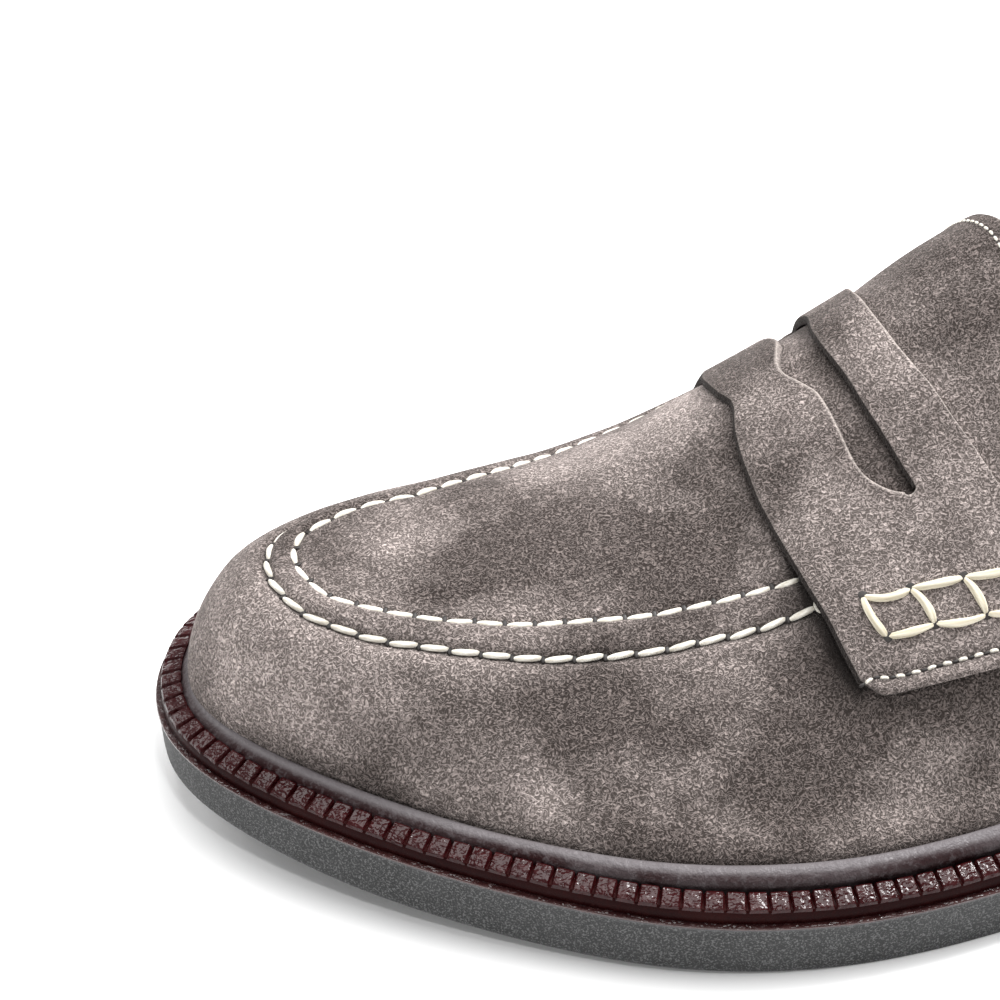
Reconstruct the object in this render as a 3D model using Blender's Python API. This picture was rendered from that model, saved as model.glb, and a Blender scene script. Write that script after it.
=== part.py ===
"""Suede penny loafer, left shoe: sole, heel, midsole, storm welt, insole, upper, saddle and tongue.

The shoe is drawn over one last. Ribs rise from the feather line round the sole to a spine along the
top of the foot, and every leather piece is cut from the surface that these ribs make.
Sizes are millimetres, X to the toe, Y to the outer side, Z up; meshes are scaled once to metres.
"""

import math
from typing import NamedTuple

import bpy
import numpy as np
from mathutils import Matrix

MM = 0.001
GAP = 0.3

# Wall and layer thicknesses
UPPER_WALL = 2.0
STRAP_WALL = 1.7
TONGUE_WALL = 2.0
MIDSOLE_THICK = 0.9
INSOLE_THICK = 4.0
INSOLE_GAP = 0.8

# Sole and heel
MIDSOLE_PROUD = 0.3
OUTSOLE_UNDERCUT = 0.7
HEEL_BREAST_X = -76.0
HEEL_TOP_INSET = 0.6
HEEL_BOTTOM_INSET = 2.0
SOLE_STATIONS = 34
KEPT_CLEARANCE = 2.0

# Storm welt section: heights above the deck, widths out from the upper or in from the sole edge
WELT_INSET = 0.6
WELT_EDGE_HEIGHT = 2.0
WELT_TOP_HEIGHT = 2.6
WELT_EDGE_ROUND = 0.5
GROOVE_DEPTH = 0.6
GROOVE_WIDTH = 0.6
BEAD_WIDTH = 2.9
BEAD_HEIGHT = 5.4
BEAD_SHOULDER = 4.5
BEAD_FOOT = 3.5
BEAD_ROLL = 0.2
SHOULDER_SHARE = 0.85
ROLL_SHARE = 0.55
CREST_SHARE = 0.15
WELT_RIBS = 96

# Mesh density of the leather pieces
OPEN_RIBS = 24
THROAT_CROWDING = 1.6
CLOSED_RIBS = 18
WALL_LEVELS = 11
TONGUE_ROWS = 12
TONGUE_COLUMNS = 14
STRAP_LENGTHS = 24
STRAP_ENDS = 7
STRAP_RINGS = 5
SHARP_ANGLE = 40.0

# How finely the last is read: round the sole, over one side, and up one rib
OUTLINE_READINGS = 1200
SIDE_READINGS = 700
RIB_READINGS = 90
HIGHEST_SHARE = 0.985

# Where the throat closes, and how far the inner side of the strap is shortened past the slot
THROAT_X = 44.0
STRAP_FOLD_GIRTH = 30.0
INNER_STRAP_SCALE = 0.6
TONGUE_SLIT = 1.2


class Rib(NamedTuple):
    """A rib of the last: its foot on the sole outline, its top on the spine, and its two handles."""

    place: str
    sole_x: float
    sole_y: float
    top_x: float
    wall: float
    crown: float
    lean: float
    reach: float


class SpinePoint(NamedTuple):
    """A point of the last's top line."""

    x: float
    y: float
    z: float


class SoleStation(NamedTuple):
    """Height of the tread and thickness of the rubber at a distance along the shoe."""

    x: float
    tread: float
    rubber: float


class EdgePoint(NamedTuple):
    """Height of the upper's top edge, by place along the sole behind and along the spine in front."""

    x: float
    z: float


class StrapRow(NamedTuple):
    """Edges of the saddle, as places along the spine, at a girth out from the middle."""

    girth: float
    front: float
    rear: float
    inner_front: float


class SlotRow(NamedTuple):
    """Edges of the slot at a girth out from the middle."""

    girth: float
    front: float
    rear: float


class TongueRow(NamedTuple):
    """Half girth of the tongue at a place along the spine."""

    x: float
    half: float


# Ribs from the heel's back, along the outer side to the toe and home along the inner side
RIBS = (
    Rib("heel back", -151.0, 2.0, -112.0, 0.50, 0.70, 4.0, 8.5),
    Rib("heel, outer", -137.0, 26.0, -112.0, 0.50, 0.62, 4.0, 8.5),
    Rib("seat, outer", -105.0, 37.0, -98.0, 0.52, 0.42, 3.0, 8.8),
    Rib("rear waist, outer", -62.0, 38.0, -60.0, 0.52, 0.36, 2.0, 8.8),
    Rib("waist, outer", -20.0, 44.0, -20.0, 0.44, 0.42, 2.0, 9.0),
    Rib("quarter, outer", 18.0, 52.4, 18.0, 0.40, 0.41, 3.0, 9.5),
    Rib("ball, outer", 63.0, 56.7, 60.0, 0.28, 0.37, 4.0, 9.5),
    Rib("vamp, outer", 91.0, 50.2, 82.0, 0.31, 0.40, 4.0, 9.2),
    Rib("toe, outer", 115.7, 34.6, 94.0, 0.45, 0.50, 4.0, 8.6),
    Rib("corner, outer", 138.8, 13.2, 99.0, 0.82, 0.66, 4.0, 7.8),
    Rib("toe tip", 151.0, -10.0, 100.0, 0.91, 0.89, 4.0, 7.6),
    Rib("corner, inner", 142.5, -33.5, 99.0, 0.76, 0.84, 4.0, 7.8),
    Rib("toe, inner", 122.0, -46.0, 94.0, 0.50, 0.66, 4.0, 8.4),
    Rib("ball, inner", 80.0, -54.5, 76.0, 0.42, 0.38, 4.0, 9.2),
    Rib("instep, inner", 35.0, -49.5, 35.0, 0.48, 0.46, 3.0, 9.2),
    Rib("waist, inner", -8.0, -38.5, -8.0, 0.62, 0.62, 2.0, 9.0),
    Rib("rear waist, inner", -50.0, -33.0, -50.0, 0.54, 0.40, 2.0, 8.8),
    Rib("seat, inner", -103.0, -34.5, -98.0, 0.52, 0.42, 3.0, 8.8),
    Rib("heel, inner", -137.0, -23.0, -112.0, 0.50, 0.62, 4.0, 8.5),
)
TIP = 10

SPINE = (
    SpinePoint(-112.0, 1.0, 102.0),
    SpinePoint(-60.0, -1.0, 99.0),
    SpinePoint(-20.0, -4.0, 92.0),
    SpinePoint(14.0, -8.0, 78.6),
    SpinePoint(41.0, -10.0, 64.3),
    SpinePoint(62.0, -11.5, 52.2),
    SpinePoint(73.0, -12.0, 46.6),
    SpinePoint(84.0, -12.5, 43.3),
    SpinePoint(100.0, -14.0, 42.2),
)

SOLE = (
    SoleStation(-151.0, 18.0, 7.5),
    SoleStation(-115.0, 17.5, 7.5),
    SoleStation(-80.0, 16.0, 7.5),
    SoleStation(-50.0, 11.0, 7.5),
    SoleStation(-20.0, 4.0, 8.1),
    SoleStation(0.0, 0.9, 8.5),
    SoleStation(15.0, 0.0, 8.5),
    SoleStation(62.0, 0.0, 8.5),
    SoleStation(90.0, 0.7, 8.6),
    SoleStation(110.0, 1.7, 8.8),
    SoleStation(130.0, 3.7, 8.5),
    SoleStation(151.0, 7.8, 6.9),
)
FOREFOOT_FLAT = (15.0, 62.0)

TOP_EDGE = (
    EdgePoint(-151.0, 78.0),
    EdgePoint(-142.0, 76.0),
    EdgePoint(-122.0, 69.5),
    EdgePoint(-95.0, 62.0),
    EdgePoint(-65.0, 56.5),
    EdgePoint(-35.0, 53.2),
    EdgePoint(5.0, 51.5),
    EdgePoint(25.0, 50.8),
    EdgePoint(33.0, 50.8),
    EdgePoint(38.0, 54.0),
    EdgePoint(THROAT_X, 62.6),
)

STRAP = (
    StrapRow(0.0, 62.0, 40.8, 62.0),
    StrapRow(4.0, 62.9, 40.4, 62.4),
    StrapRow(10.0, 63.8, 39.3, 61.8),
    StrapRow(16.0, 63.9, 37.8, 60.1),
    StrapRow(22.0, 63.3, 36.4, 58.3),
    StrapRow(30.0, 62.0, 34.4, 57.2),
    StrapRow(40.0, 59.9, 31.8, 56.8),
    StrapRow(50.0, 58.0, 29.2, 57.2),
    StrapRow(60.0, 56.6, 26.6, 56.6),
)
STRAP_CORNER_GIRTH = 53.0
STRAP_REAR_GIRTH = 61.0

SLOT = (
    SlotRow(0.0, 54.4, 48.3),
    SlotRow(4.0, 52.9, 47.9),
    SlotRow(9.0, 51.2, 47.2),
    SlotRow(15.0, 50.9, 46.4),
    SlotRow(20.0, 50.5, 45.5),
    SlotRow(24.0, 49.4, 44.8),
)
SLOT_END_GIRTH = 28.8
SLOT_END_X = 45.4

TONGUE = (
    TongueRow(20.0, 16.0),
    TongueRow(21.0, 20.0),
    TongueRow(23.0, 24.5),
    TongueRow(25.5, 29.0),
    TongueRow(28.0, 32.5),
    TongueRow(32.0, 36.0),
    TongueRow(42.4, 36.0),
)


def clear_scene() -> None:
    """Remove every object of the opening scene."""
    for thing in list(bpy.data.objects):
        bpy.data.objects.remove(thing, do_unlink=True)


def rising_curve(xs, ys, at):
    """Smooth curve through table points that never overshoots them."""
    xs = np.asarray(xs, float)
    ys = np.asarray(ys, float)
    step = np.diff(xs)
    rise = np.diff(ys) / step
    slope = np.zeros(len(xs))
    slope[0] = rise[0]
    slope[-1] = rise[-1]
    for i in range(1, len(xs) - 1):
        if rise[i - 1] * rise[i] > 0:
            after = 2 * step[i] + step[i - 1]
            before = step[i] + 2 * step[i - 1]
            slope[i] = (after + before) / (after / rise[i - 1] + before / rise[i])
    x = np.clip(np.asarray(at, float), xs[0], xs[-1])
    k = np.clip(np.searchsorted(xs, x, side="right") - 1, 0, len(xs) - 2)
    h = step[k]
    u = (x - xs[k]) / h
    start = (2 * u**3 - 3 * u**2 + 1) * ys[k] + (u**3 - 2 * u**2 + u) * h * slope[k]
    end = (3 * u**2 - 2 * u**3) * ys[k + 1] + (u**3 - u**2) * h * slope[k + 1]
    return start + end


def table_curve(rows, column, at):
    """Smooth curve of one column of a table over its first column."""
    return rising_curve([row[0] for row in rows], [getattr(row, column) for row in rows], at)


def closed_spline(knots, values, at):
    """Closed cubic spline through rows of values, each at its knot."""
    count = len(values)
    step = np.diff(knots)
    matrix = np.zeros((count, count))
    right = np.zeros(values.shape)
    for i in range(count):
        after = (i + 1) % count
        matrix[i, i - 1] += step[i - 1]
        matrix[i, i] += 2 * (step[i - 1] + step[i])
        matrix[i, after] += step[i]
        right[i] = 6 * (values[after] - values[i]) / step[i]
        right[i] -= 6 * (values[i] - values[i - 1]) / step[i - 1]
    bend = np.linalg.solve(matrix, right)
    at = np.asarray(at, float) % knots[-1]
    k = np.clip(np.searchsorted(knots, at, side="right") - 1, 0, count - 1)
    n = (k + 1) % count
    h = step[k][:, None]
    a = (knots[k + 1] - at)[:, None]
    b = (at - knots[k])[:, None]
    cubic = (bend[k] * a**3 + bend[n] * b**3) / (6 * h)
    return cubic + (values[k] / h - bend[k] * h / 6) * a + (values[n] / h - bend[n] * h / 6) * b


VALUES = np.array([rib[1:] for rib in RIBS])
COLUMNS = {name: i for i, name in enumerate(Rib._fields[1:])}
PLAN = VALUES[:, :2]
KNOTS = np.concatenate([[0.0], np.cumsum(np.linalg.norm(np.roll(PLAN, -1, 0) - PLAN, axis=1))])
AROUND = KNOTS[-1]
TIP_AT = KNOTS[TIP]


def rib_column(around, name):
    """One column of the rib table, smoothly read at distances round the sole."""
    return closed_spline(KNOTS, VALUES, around)[:, COLUMNS[name]]


def sole_edge(around):
    """Points of the sole outline and the outward directions there."""
    reach = 0.25
    here = closed_spline(KNOTS, VALUES, around)[:, :2]
    ahead = closed_spline(KNOTS, VALUES, np.asarray(around) + reach)[:, :2]
    behind = closed_spline(KNOTS, VALUES, np.asarray(around) - reach)[:, :2]
    along = ahead - behind
    along /= np.linalg.norm(along, axis=1)[:, None]
    return here, np.stack([-along[:, 1], along[:, 0]], axis=1)


def tread_height(x):
    """Underside of the outsole."""
    return table_curve(SOLE, "tread", x)


def rubber_top(x):
    """Top of the outsole."""
    return tread_height(x) + table_curve(SOLE, "rubber", x)


def midsole_bottom(x):
    """Underside of the midsole."""
    return rubber_top(x) + GAP


def midsole_top(x):
    """Top of the midsole."""
    return midsole_bottom(x) + MIDSOLE_THICK


def deck(x):
    """Height at which the upper, the welt and the insole start."""
    return midsole_top(x) + GAP


def spine_at(x):
    """Points of the last's top line and its slope."""
    probe = 0.5
    front = SPINE[-1].x
    x = np.minimum(x, front)
    ahead = np.minimum(x + probe, front)
    y = table_curve(SPINE, "y", x)
    z = table_curve(SPINE, "z", x)
    slope = (table_curve(SPINE, "z", ahead) - table_curve(SPINE, "z", x - probe)) / (ahead - x + probe)
    return np.stack([x, y, z], axis=1), slope


def rib_handles(around):
    """The four handles of the ribs that start at these distances round the sole."""
    edge, out = sole_edge(around)
    plan = edge - out * rib_column(around, "reach")[:, None]
    foot = np.column_stack([plan, deck(plan[:, 0])])
    top, slope = spine_at(rib_column(around, "top_x"))
    tall = top[:, 2] - foot[:, 2]
    lean = rib_column(around, "lean")
    wall = rib_column(around, "wall")
    crown = rib_column(around, "crown")
    low = foot + np.column_stack([out * lean[:, None], tall * wall])
    back = foot - top
    back[:, 2] = back[:, 0] * slope
    return foot, low, top + back * crown[:, None], top


def last_point(around, up):
    """Points of the last: a distance round the sole and a share of the rib's way up."""
    foot, low, high, top = rib_handles(around)
    u = np.asarray(up, float)[:, None]
    v = 1 - u
    return v**3 * foot + 3 * v**2 * u * low + 3 * v * u**2 * high + u**3 * top


def last_normal(around, up):
    """Outward directions of the last."""
    step_round = 0.4
    step_up = 0.01
    up = np.clip(up, step_up, HIGHEST_SHARE)
    along = last_point(around + step_round, up) - last_point(around - step_round, up)
    rise = last_point(around, up + step_up) - last_point(around, up - step_up)
    normal = np.cross(rise, along)
    return normal / np.linalg.norm(normal, axis=1)[:, None]


def off_last(around, up, distance):
    """Points at a distance out from the last."""
    around = np.asarray(around, float)
    up = np.asarray(up, float)
    return last_point(around, up) + last_normal(around, up) * distance


def rib_line(around):
    """One rib as shares of its way up, its points, and the girth from its top down."""
    up = np.linspace(0.0, 1.0, RIB_READINGS)
    points = last_point(np.full(RIB_READINGS, around), up)
    steps = np.linalg.norm(np.diff(points, axis=0), axis=1)
    girth = np.concatenate([np.cumsum(steps[::-1])[::-1], [0.0]])
    return up, points, girth


def up_at_height(around, height):
    """Share of a rib's way up at a height."""
    up, points, _ = rib_line(around)
    return float(np.interp(height, points[:, 2], up))


def up_at_girth(around, girth):
    """Share of a rib's way up at a girth from its top."""
    up, _, girths = rib_line(around)
    return float(np.interp(girth, girths[::-1], up[::-1]))


def side_lookup(start, end):
    """Distances round the sole over one side, and the spine places of their ribs."""
    around = np.linspace(start, end, SIDE_READINGS)
    return around, np.minimum(rib_column(around, "top_x"), SPINE[-1].x)


OUTER_SIDE = side_lookup(KNOTS[2], TIP_AT)
INNER_SIDE = side_lookup(TIP_AT, KNOTS[17])


def rib_from_spine(x, outer):
    """Distance round the sole of the rib that ends at x on the spine."""
    around, tops = OUTER_SIDE if outer else (INNER_SIDE[0][::-1], INNER_SIDE[1][::-1])
    return float(np.interp(x, tops, around))


def on_last(x, girth):
    """Distance round the sole and share up, for a place on the spine and a girth out from it."""
    around = rib_from_spine(x, girth >= 0)
    return around, up_at_girth(around, abs(girth))


def edge_girth(x, outer):
    """Girth from the spine down to the upper's top edge."""
    around = rib_from_spine(x, outer)
    _, points, girths = rib_line(around)
    height = float(table_curve(TOP_EDGE, "z", x))
    return float(np.interp(height, points[:, 2], girths))


def add_solid(name, points, faces, material):
    """Make one named object from millimetre points and faces."""
    mesh = bpy.data.meshes.new(name)
    mesh.from_pydata((np.asarray(points) * MM).tolist(), [], faces)
    mesh.validate()
    mesh.update()
    mesh.materials.append(material)
    mesh.shade_smooth()
    mesh.set_sharp_from_angle(angle=math.radians(SHARP_ANGLE))
    solid = bpy.data.objects.new(name, mesh)
    bpy.context.scene.collection.objects.link(solid)
    return solid


def make_material(name, colour, roughness):
    """Plain material with its own colour and roughness."""
    material = bpy.data.materials.new(name)
    material.use_nodes = True
    shader = material.node_tree.nodes["Principled BSDF"]
    shader.inputs["Base Color"].default_value = (*colour, 1.0)
    shader.inputs["Roughness"].default_value = roughness
    shader.inputs["Metallic"].default_value = 0.0
    return material


def dense_outline(inset, from_feather):
    """Plan outline, in from the sole edge or from the feather line."""
    around = np.linspace(0.0, AROUND, OUTLINE_READINGS, endpoint=False)
    edge, out = sole_edge(around)
    if from_feather:
        inset = inset + rib_column(around, "reach")[:, None]
    return edge - out * inset


def cross_widths(outline, xs):
    """Outer and inner half outlines of a plan outline, read at x."""
    toe = int(outline[:, 0].argmax())
    heel = int(outline[:, 0].argmin())
    turned = np.roll(outline, -heel, axis=0)
    toe = (toe - heel) % len(outline)
    outer = turned[: toe + 1]
    inner = np.vstack([turned[toe:], turned[:1]])[::-1]
    return (
        np.interp(xs, outer[:, 0], outer[:, 1]),
        np.interp(xs, inner[:, 0], inner[:, 1]),
        turned[0],
        turned[toe],
    )


def plate_stations(low, high, kept):
    """Places along the shoe, closer together at both ends, with the kept places among them."""
    turn = np.linspace(math.pi, 0.0, SOLE_STATIONS + 2)[1:-1]
    xs = (low + high) / 2 + (high - low) / 2 * np.cos(turn)
    inside = [x for x in kept if low < x < high]
    far = [x for x in xs if all(abs(x - k) > KEPT_CLEARANCE for k in inside)]
    return np.array(sorted(far + inside))


def add_plate(name, bottom_outline, top_outline, bottom, top, material, breast=None, kept=()):
    """Layer between two heights, inside a bottom and a top outline, cut straight at the breast."""
    low = max(bottom_outline[:, 0].min(), top_outline[:, 0].min())
    high = min(bottom_outline[:, 0].max(), top_outline[:, 0].max())
    xs = plate_stations(low, breast if breast is not None else high, kept)
    if breast is not None:
        xs = np.append(xs, breast)
    points = []
    rows = []
    ends = []
    for outline, height in ((bottom_outline, bottom), (top_outline, top)):
        outer, inner, heel, toe = cross_widths(outline, xs)
        rows.append((len(points), len(points) + len(xs)))
        points += [(x, y, z) for x, y, z in zip(xs, outer, height(xs))]
        points += [(x, y, z) for x, y, z in zip(xs, inner, height(xs))]
        tips = [heel] if breast is not None else [heel, toe]
        ends.append(range(len(points), len(points) + len(tips)))
        points += [(tip[0], tip[1], float(height(tip[:1])[0])) for tip in tips]
    (low_out, low_in), (up_out, up_in) = rows
    last = len(xs) - 1
    faces = []
    for i in range(last):
        faces.append((low_out + i, low_out + i + 1, low_in + i + 1, low_in + i))
        faces.append((up_in + i, up_in + i + 1, up_out + i + 1, up_out + i))
        faces.append((low_out + i, up_out + i, up_out + i + 1, low_out + i + 1))
        faces.append((low_in + i + 1, up_in + i + 1, up_in + i, low_in + i))
    heel_low, heel_up = ends[0][0], ends[1][0]
    faces.append((heel_low, low_out, low_in))
    faces.append((heel_up, up_in, up_out))
    faces.append((heel_low, heel_up, up_out, low_out))
    faces.append((low_in, up_in, heel_up, heel_low))
    if breast is not None:
        faces.append((low_out + last, up_out + last, up_in + last, low_in + last))
    else:
        toe_low, toe_up = ends[0][1], ends[1][1]
        faces.append((toe_low, low_in + last, low_out + last))
        faces.append((toe_up, up_out + last, up_in + last))
        faces.append((low_out + last, up_out + last, toe_up, toe_low))
        faces.append((toe_low, toe_up, up_in + last, low_in + last))
    return add_solid(name, points, faces, material)


def add_sole_unit(rubber, burgundy, sock):
    """Outsole, heel, midsole and insole."""
    edge = dense_outline(0.0, False)
    tread = dense_outline(OUTSOLE_UNDERCUT, False)
    add_plate("outsole", tread, edge, tread_height, rubber_top, rubber, kept=FOREFOOT_FLAT)
    add_plate(
        "heel",
        dense_outline(HEEL_BOTTOM_INSET, False),
        dense_outline(HEEL_TOP_INSET, False),
        lambda x: np.zeros(len(x)),
        lambda x: tread_height(x) - GAP,
        rubber,
        breast=HEEL_BREAST_X,
    )
    lip = dense_outline(-MIDSOLE_PROUD, False)
    add_plate("midsole", lip, lip, midsole_bottom, midsole_top, burgundy)
    board = dense_outline(UPPER_WALL + INSOLE_GAP, True)
    add_plate("insole", board, board, deck, lambda x: deck(x) + INSOLE_THICK, sock)


def welt_section(around):
    """Closed section of the welt at one rib, from its outer foot over the bead and down inside."""
    edge, out = sole_edge(np.array([around]))
    edge, out = edge[0], out[0]
    _, points, _ = rib_line(around)
    rise = points[:, 2] - points[0, 2]
    spread = (points[:, :2] - edge) @ out

    def upper_at(height):
        return float(np.interp(height, rise, spread)) + GAP

    bead = upper_at(BEAD_FOOT)
    profile = (
        (-WELT_INSET, 0.0),
        (-WELT_INSET, WELT_EDGE_HEIGHT),
        (-WELT_INSET - WELT_EDGE_ROUND, WELT_TOP_HEIGHT),
        (bead + BEAD_WIDTH + 2 * GROOVE_WIDTH, WELT_TOP_HEIGHT),
        (bead + BEAD_WIDTH + GROOVE_WIDTH, WELT_TOP_HEIGHT - GROOVE_DEPTH),
        (bead + BEAD_WIDTH, BEAD_FOOT),
        (bead + SHOULDER_SHARE * BEAD_WIDTH, BEAD_SHOULDER),
        (bead + ROLL_SHARE * BEAD_WIDTH, BEAD_HEIGHT - BEAD_ROLL),
        (max(bead, upper_at(BEAD_HEIGHT)) + CREST_SHARE * BEAD_WIDTH, BEAD_HEIGHT),
        (upper_at(BEAD_SHOULDER), BEAD_SHOULDER),
        (upper_at(WELT_TOP_HEIGHT), WELT_TOP_HEIGHT),
        (upper_at(0.0), 0.0),
    )
    section = []
    for away, height in profile:
        x, y = edge + out * away
        section.append((x, y, float(deck(np.array([x]))[0]) + height))
    return section


def add_welt(material):
    """Storm welt swept round the shoe."""
    sections = [welt_section(a) for a in np.linspace(0.0, AROUND, WELT_RIBS, endpoint=False)]
    size = len(sections[0])
    points = [point for section in sections for point in section]
    faces = []
    for i in range(WELT_RIBS):
        n = (i + 1) % WELT_RIBS
        for j in range(size):
            k = (j + 1) % size
            faces.append((i * size + j, i * size + k, n * size + k, n * size + j))
    return add_solid("welt", points, faces, material)


def upper_ribs():
    """Ribs of the upper in order: distance round the sole, share up of its top edge, partner rib."""
    throat_outer = rib_from_spine(THROAT_X, True)
    throat_inner = rib_from_spine(THROAT_X, False)
    crowded = np.linspace(1.0, 0.0, OPEN_RIBS, endpoint=False) ** THROAT_CROWDING
    ribs = [(throat_outer * (1 - share), None) for share in crowded]
    first = len(ribs)
    closed = np.linspace(throat_outer, TIP_AT, CLOSED_RIBS + 1)
    ribs += [(around, None) for around in closed[:-1]]
    ribs.append((TIP_AT, None))
    for i in range(CLOSED_RIBS - 1, -1, -1):
        x = min(float(rib_column(np.array([closed[i]]), "top_x")[0]), SPINE[-1].x)
        ribs.append((rib_from_spine(x, False), first + i))
    ribs += [(throat_inner + (AROUND - throat_inner) * share, None) for share in crowded[:0:-1]]
    is_open = [i < first or i >= first + 2 * CLOSED_RIBS + 1 for i in range(len(ribs))]
    return ribs, is_open


def top_share(around):
    """Share up of the top edge on an open rib."""
    x = float(rib_column(np.array([around]), "top_x")[0])
    if x < 0:
        x = float(rib_column(np.array([around]), "sole_x")[0])
    return up_at_height(around, float(table_curve(TOP_EDGE, "z", x)))


def add_upper(material):
    """Upper: one shell with a real wall, open underneath and at the collar and throat."""
    ribs, is_open = upper_ribs()
    levels = np.linspace(0.0, 1.0, WALL_LEVELS + 1)
    points = []
    index = {}
    for i, (around, partner) in enumerate(ribs):
        up = levels * (top_share(around) if is_open[i] else 1.0)
        rounds = np.full(len(up), around)
        skins = (last_point(rounds, up), off_last(rounds, up, -UPPER_WALL))
        skins[1][0, 2] = skins[0][0, 2]
        for skin, line in enumerate(skins):
            for j, point in enumerate(line):
                if partner is not None and j == WALL_LEVELS:
                    index[skin, i, j] = index[skin, partner, j]
                    continue
                index[skin, i, j] = len(points)
                points.append(point)
    faces = []
    count = len(ribs)
    for i in range(count):
        n = (i + 1) % count
        for j in range(WALL_LEVELS):
            faces.append((index[0, n, j], index[0, i, j], index[0, i, j + 1], index[0, n, j + 1]))
            faces.append((index[1, i, j], index[1, n, j], index[1, n, j + 1], index[1, i, j + 1]))
        faces.append((index[0, i, 0], index[0, n, 0], index[1, n, 0], index[1, i, 0]))
        if is_open[i] or is_open[n]:
            m = WALL_LEVELS
            faces.append((index[0, n, m], index[0, i, m], index[1, i, m], index[1, n, m]))
    return add_solid("upper", points, faces, material)


def tongue_half(x, outer):
    """Half girth of the tongue, kept inside the upper's top edge."""
    return min(float(table_curve(TONGUE, "half", x)), edge_girth(x, outer) - TONGUE_SLIT)


def add_tongue(material):
    """Tongue: the sheet that fills the throat behind the upper's edge."""
    columns = np.linspace(-1.0, 1.0, TONGUE_COLUMNS + 1)
    points = []
    for distance in (0.0, -TONGUE_WALL):
        for x in np.linspace(TONGUE[0].x, TONGUE[-1].x, TONGUE_ROWS + 1):
            places = [on_last(x, c * tongue_half(x, c >= 0)) for c in columns]
            points += list(off_last(*np.array(places).T, distance))
    wide = TONGUE_COLUMNS + 1
    skin = wide * (TONGUE_ROWS + 1)
    faces = []
    for r in range(TONGUE_ROWS):
        for c in range(TONGUE_COLUMNS):
            a = r * wide + c
            faces.append((a, a + wide, a + wide + 1, a + 1))
            faces.append((skin + a, skin + a + 1, skin + a + wide + 1, skin + a + wide))
    border = list(range(TONGUE_COLUMNS))
    border += [r * wide + TONGUE_COLUMNS for r in range(TONGUE_ROWS)]
    border += [TONGUE_ROWS * wide + c for c in range(TONGUE_COLUMNS, 0, -1)]
    border += [r * wide for r in range(TONGUE_ROWS, 0, -1)]
    for i, a in enumerate(border):
        b = border[(i + 1) % len(border)]
        faces.append((a, b, skin + b, skin + a))
    return add_solid("tongue", points, faces, material)


def strap_loop():
    """Outer edge of the saddle as places (x, girth), front edge first, then round by the rear."""
    across = np.linspace(-1.0, 1.0, STRAP_LENGTHS + 1)
    fronts = ["front" if g >= 0 else "inner_front" for g in across]
    girths = across * STRAP_CORNER_GIRTH
    front = [(float(table_curve(STRAP, column, abs(g))), g) for column, g in zip(fronts, girths)]
    rear = [(float(table_curve(STRAP, "rear", abs(g))), g) for g in -across * STRAP_REAR_GIRTH]
    ends = np.linspace(0.0, 1.0, STRAP_ENDS + 1)[1:-1]
    outer_end = [(np.array(front[-1]) * (1 - s) + np.array(rear[0]) * s) for s in ends]
    inner_end = [(np.array(rear[-1]) * (1 - s) + np.array(front[0]) * s) for s in ends]
    return np.array(front + outer_end + rear + inner_end)


def slot_loop():
    """Edge of the slot as places (x, girth), with the same number of places as the strap's edge."""
    across = np.linspace(-1.0, 1.0, STRAP_LENGTHS + 1) * SLOT[-1].girth
    front = [(float(table_curve(SLOT, "front", abs(g))), g) for g in across]
    rear = [(float(table_curve(SLOT, "rear", abs(g))), -g) for g in across]
    turn = np.linspace(0.0, math.pi, STRAP_ENDS + 1)[1:-1]
    middle = (SLOT[-1].front + SLOT[-1].rear) / 2
    half = (SLOT[-1].front - SLOT[-1].rear) / 2
    end_x = middle + half * np.cos(turn) + (SLOT_END_X - middle) * np.sin(turn)
    end_girth = SLOT[-1].girth + (SLOT_END_GIRTH - SLOT[-1].girth) * np.sin(turn)
    outer_end = list(zip(end_x, end_girth))
    inner_end = list(zip(end_x[::-1], -end_girth))
    return np.array(front + outer_end + rear + inner_end)


def strap_girth(girth):
    """Girth on the last, shortened on the inner side, where the way down to the welt is less."""
    if girth > -STRAP_FOLD_GIRTH:
        return girth
    return -STRAP_FOLD_GIRTH + (girth + STRAP_FOLD_GIRTH) * INNER_STRAP_SCALE


def add_saddle(material):
    """Saddle: penny strap with its slot, cut between two offsets of the last."""
    inside = slot_loop()
    outside = strap_loop()
    around = len(inside)
    points = []
    for distance in (GAP, GAP + STRAP_WALL):
        for s in np.linspace(0.0, 1.0, STRAP_RINGS + 1):
            ring = inside * (1 - s) + outside * s
            places = [on_last(x, strap_girth(girth)) for x, girth in ring]
            points += list(off_last(*np.array(places).T, distance))
    skin = around * (STRAP_RINGS + 1)
    faces = []
    for r in range(STRAP_RINGS):
        for i in range(around):
            n = (i + 1) % around
            a, b = r * around + i, r * around + n
            faces.append((a, b, b + around, a + around))
            faces.append((skin + a, skin + a + around, skin + b + around, skin + b))
    rim = STRAP_RINGS * around
    for i in range(around):
        n = (i + 1) % around
        faces.append((n, i, skin + i, skin + n))
        faces.append((rim + i, rim + n, skin + rim + n, skin + rim + i))
    return add_solid("saddle", points, faces, material)


def centre_on_floor() -> None:
    """Move the finished pieces together, so that the middle of the shoe's plan is over the origin."""
    solids = list(bpy.context.scene.collection.objects)
    corners = np.array([corner for solid in solids for corner in solid.bound_box])
    middle = (corners.min(axis=0) + corners.max(axis=0)) / 2
    for solid in solids:
        solid.data.transform(Matrix.Translation((-middle[0], -middle[1], 0.0)))


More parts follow.
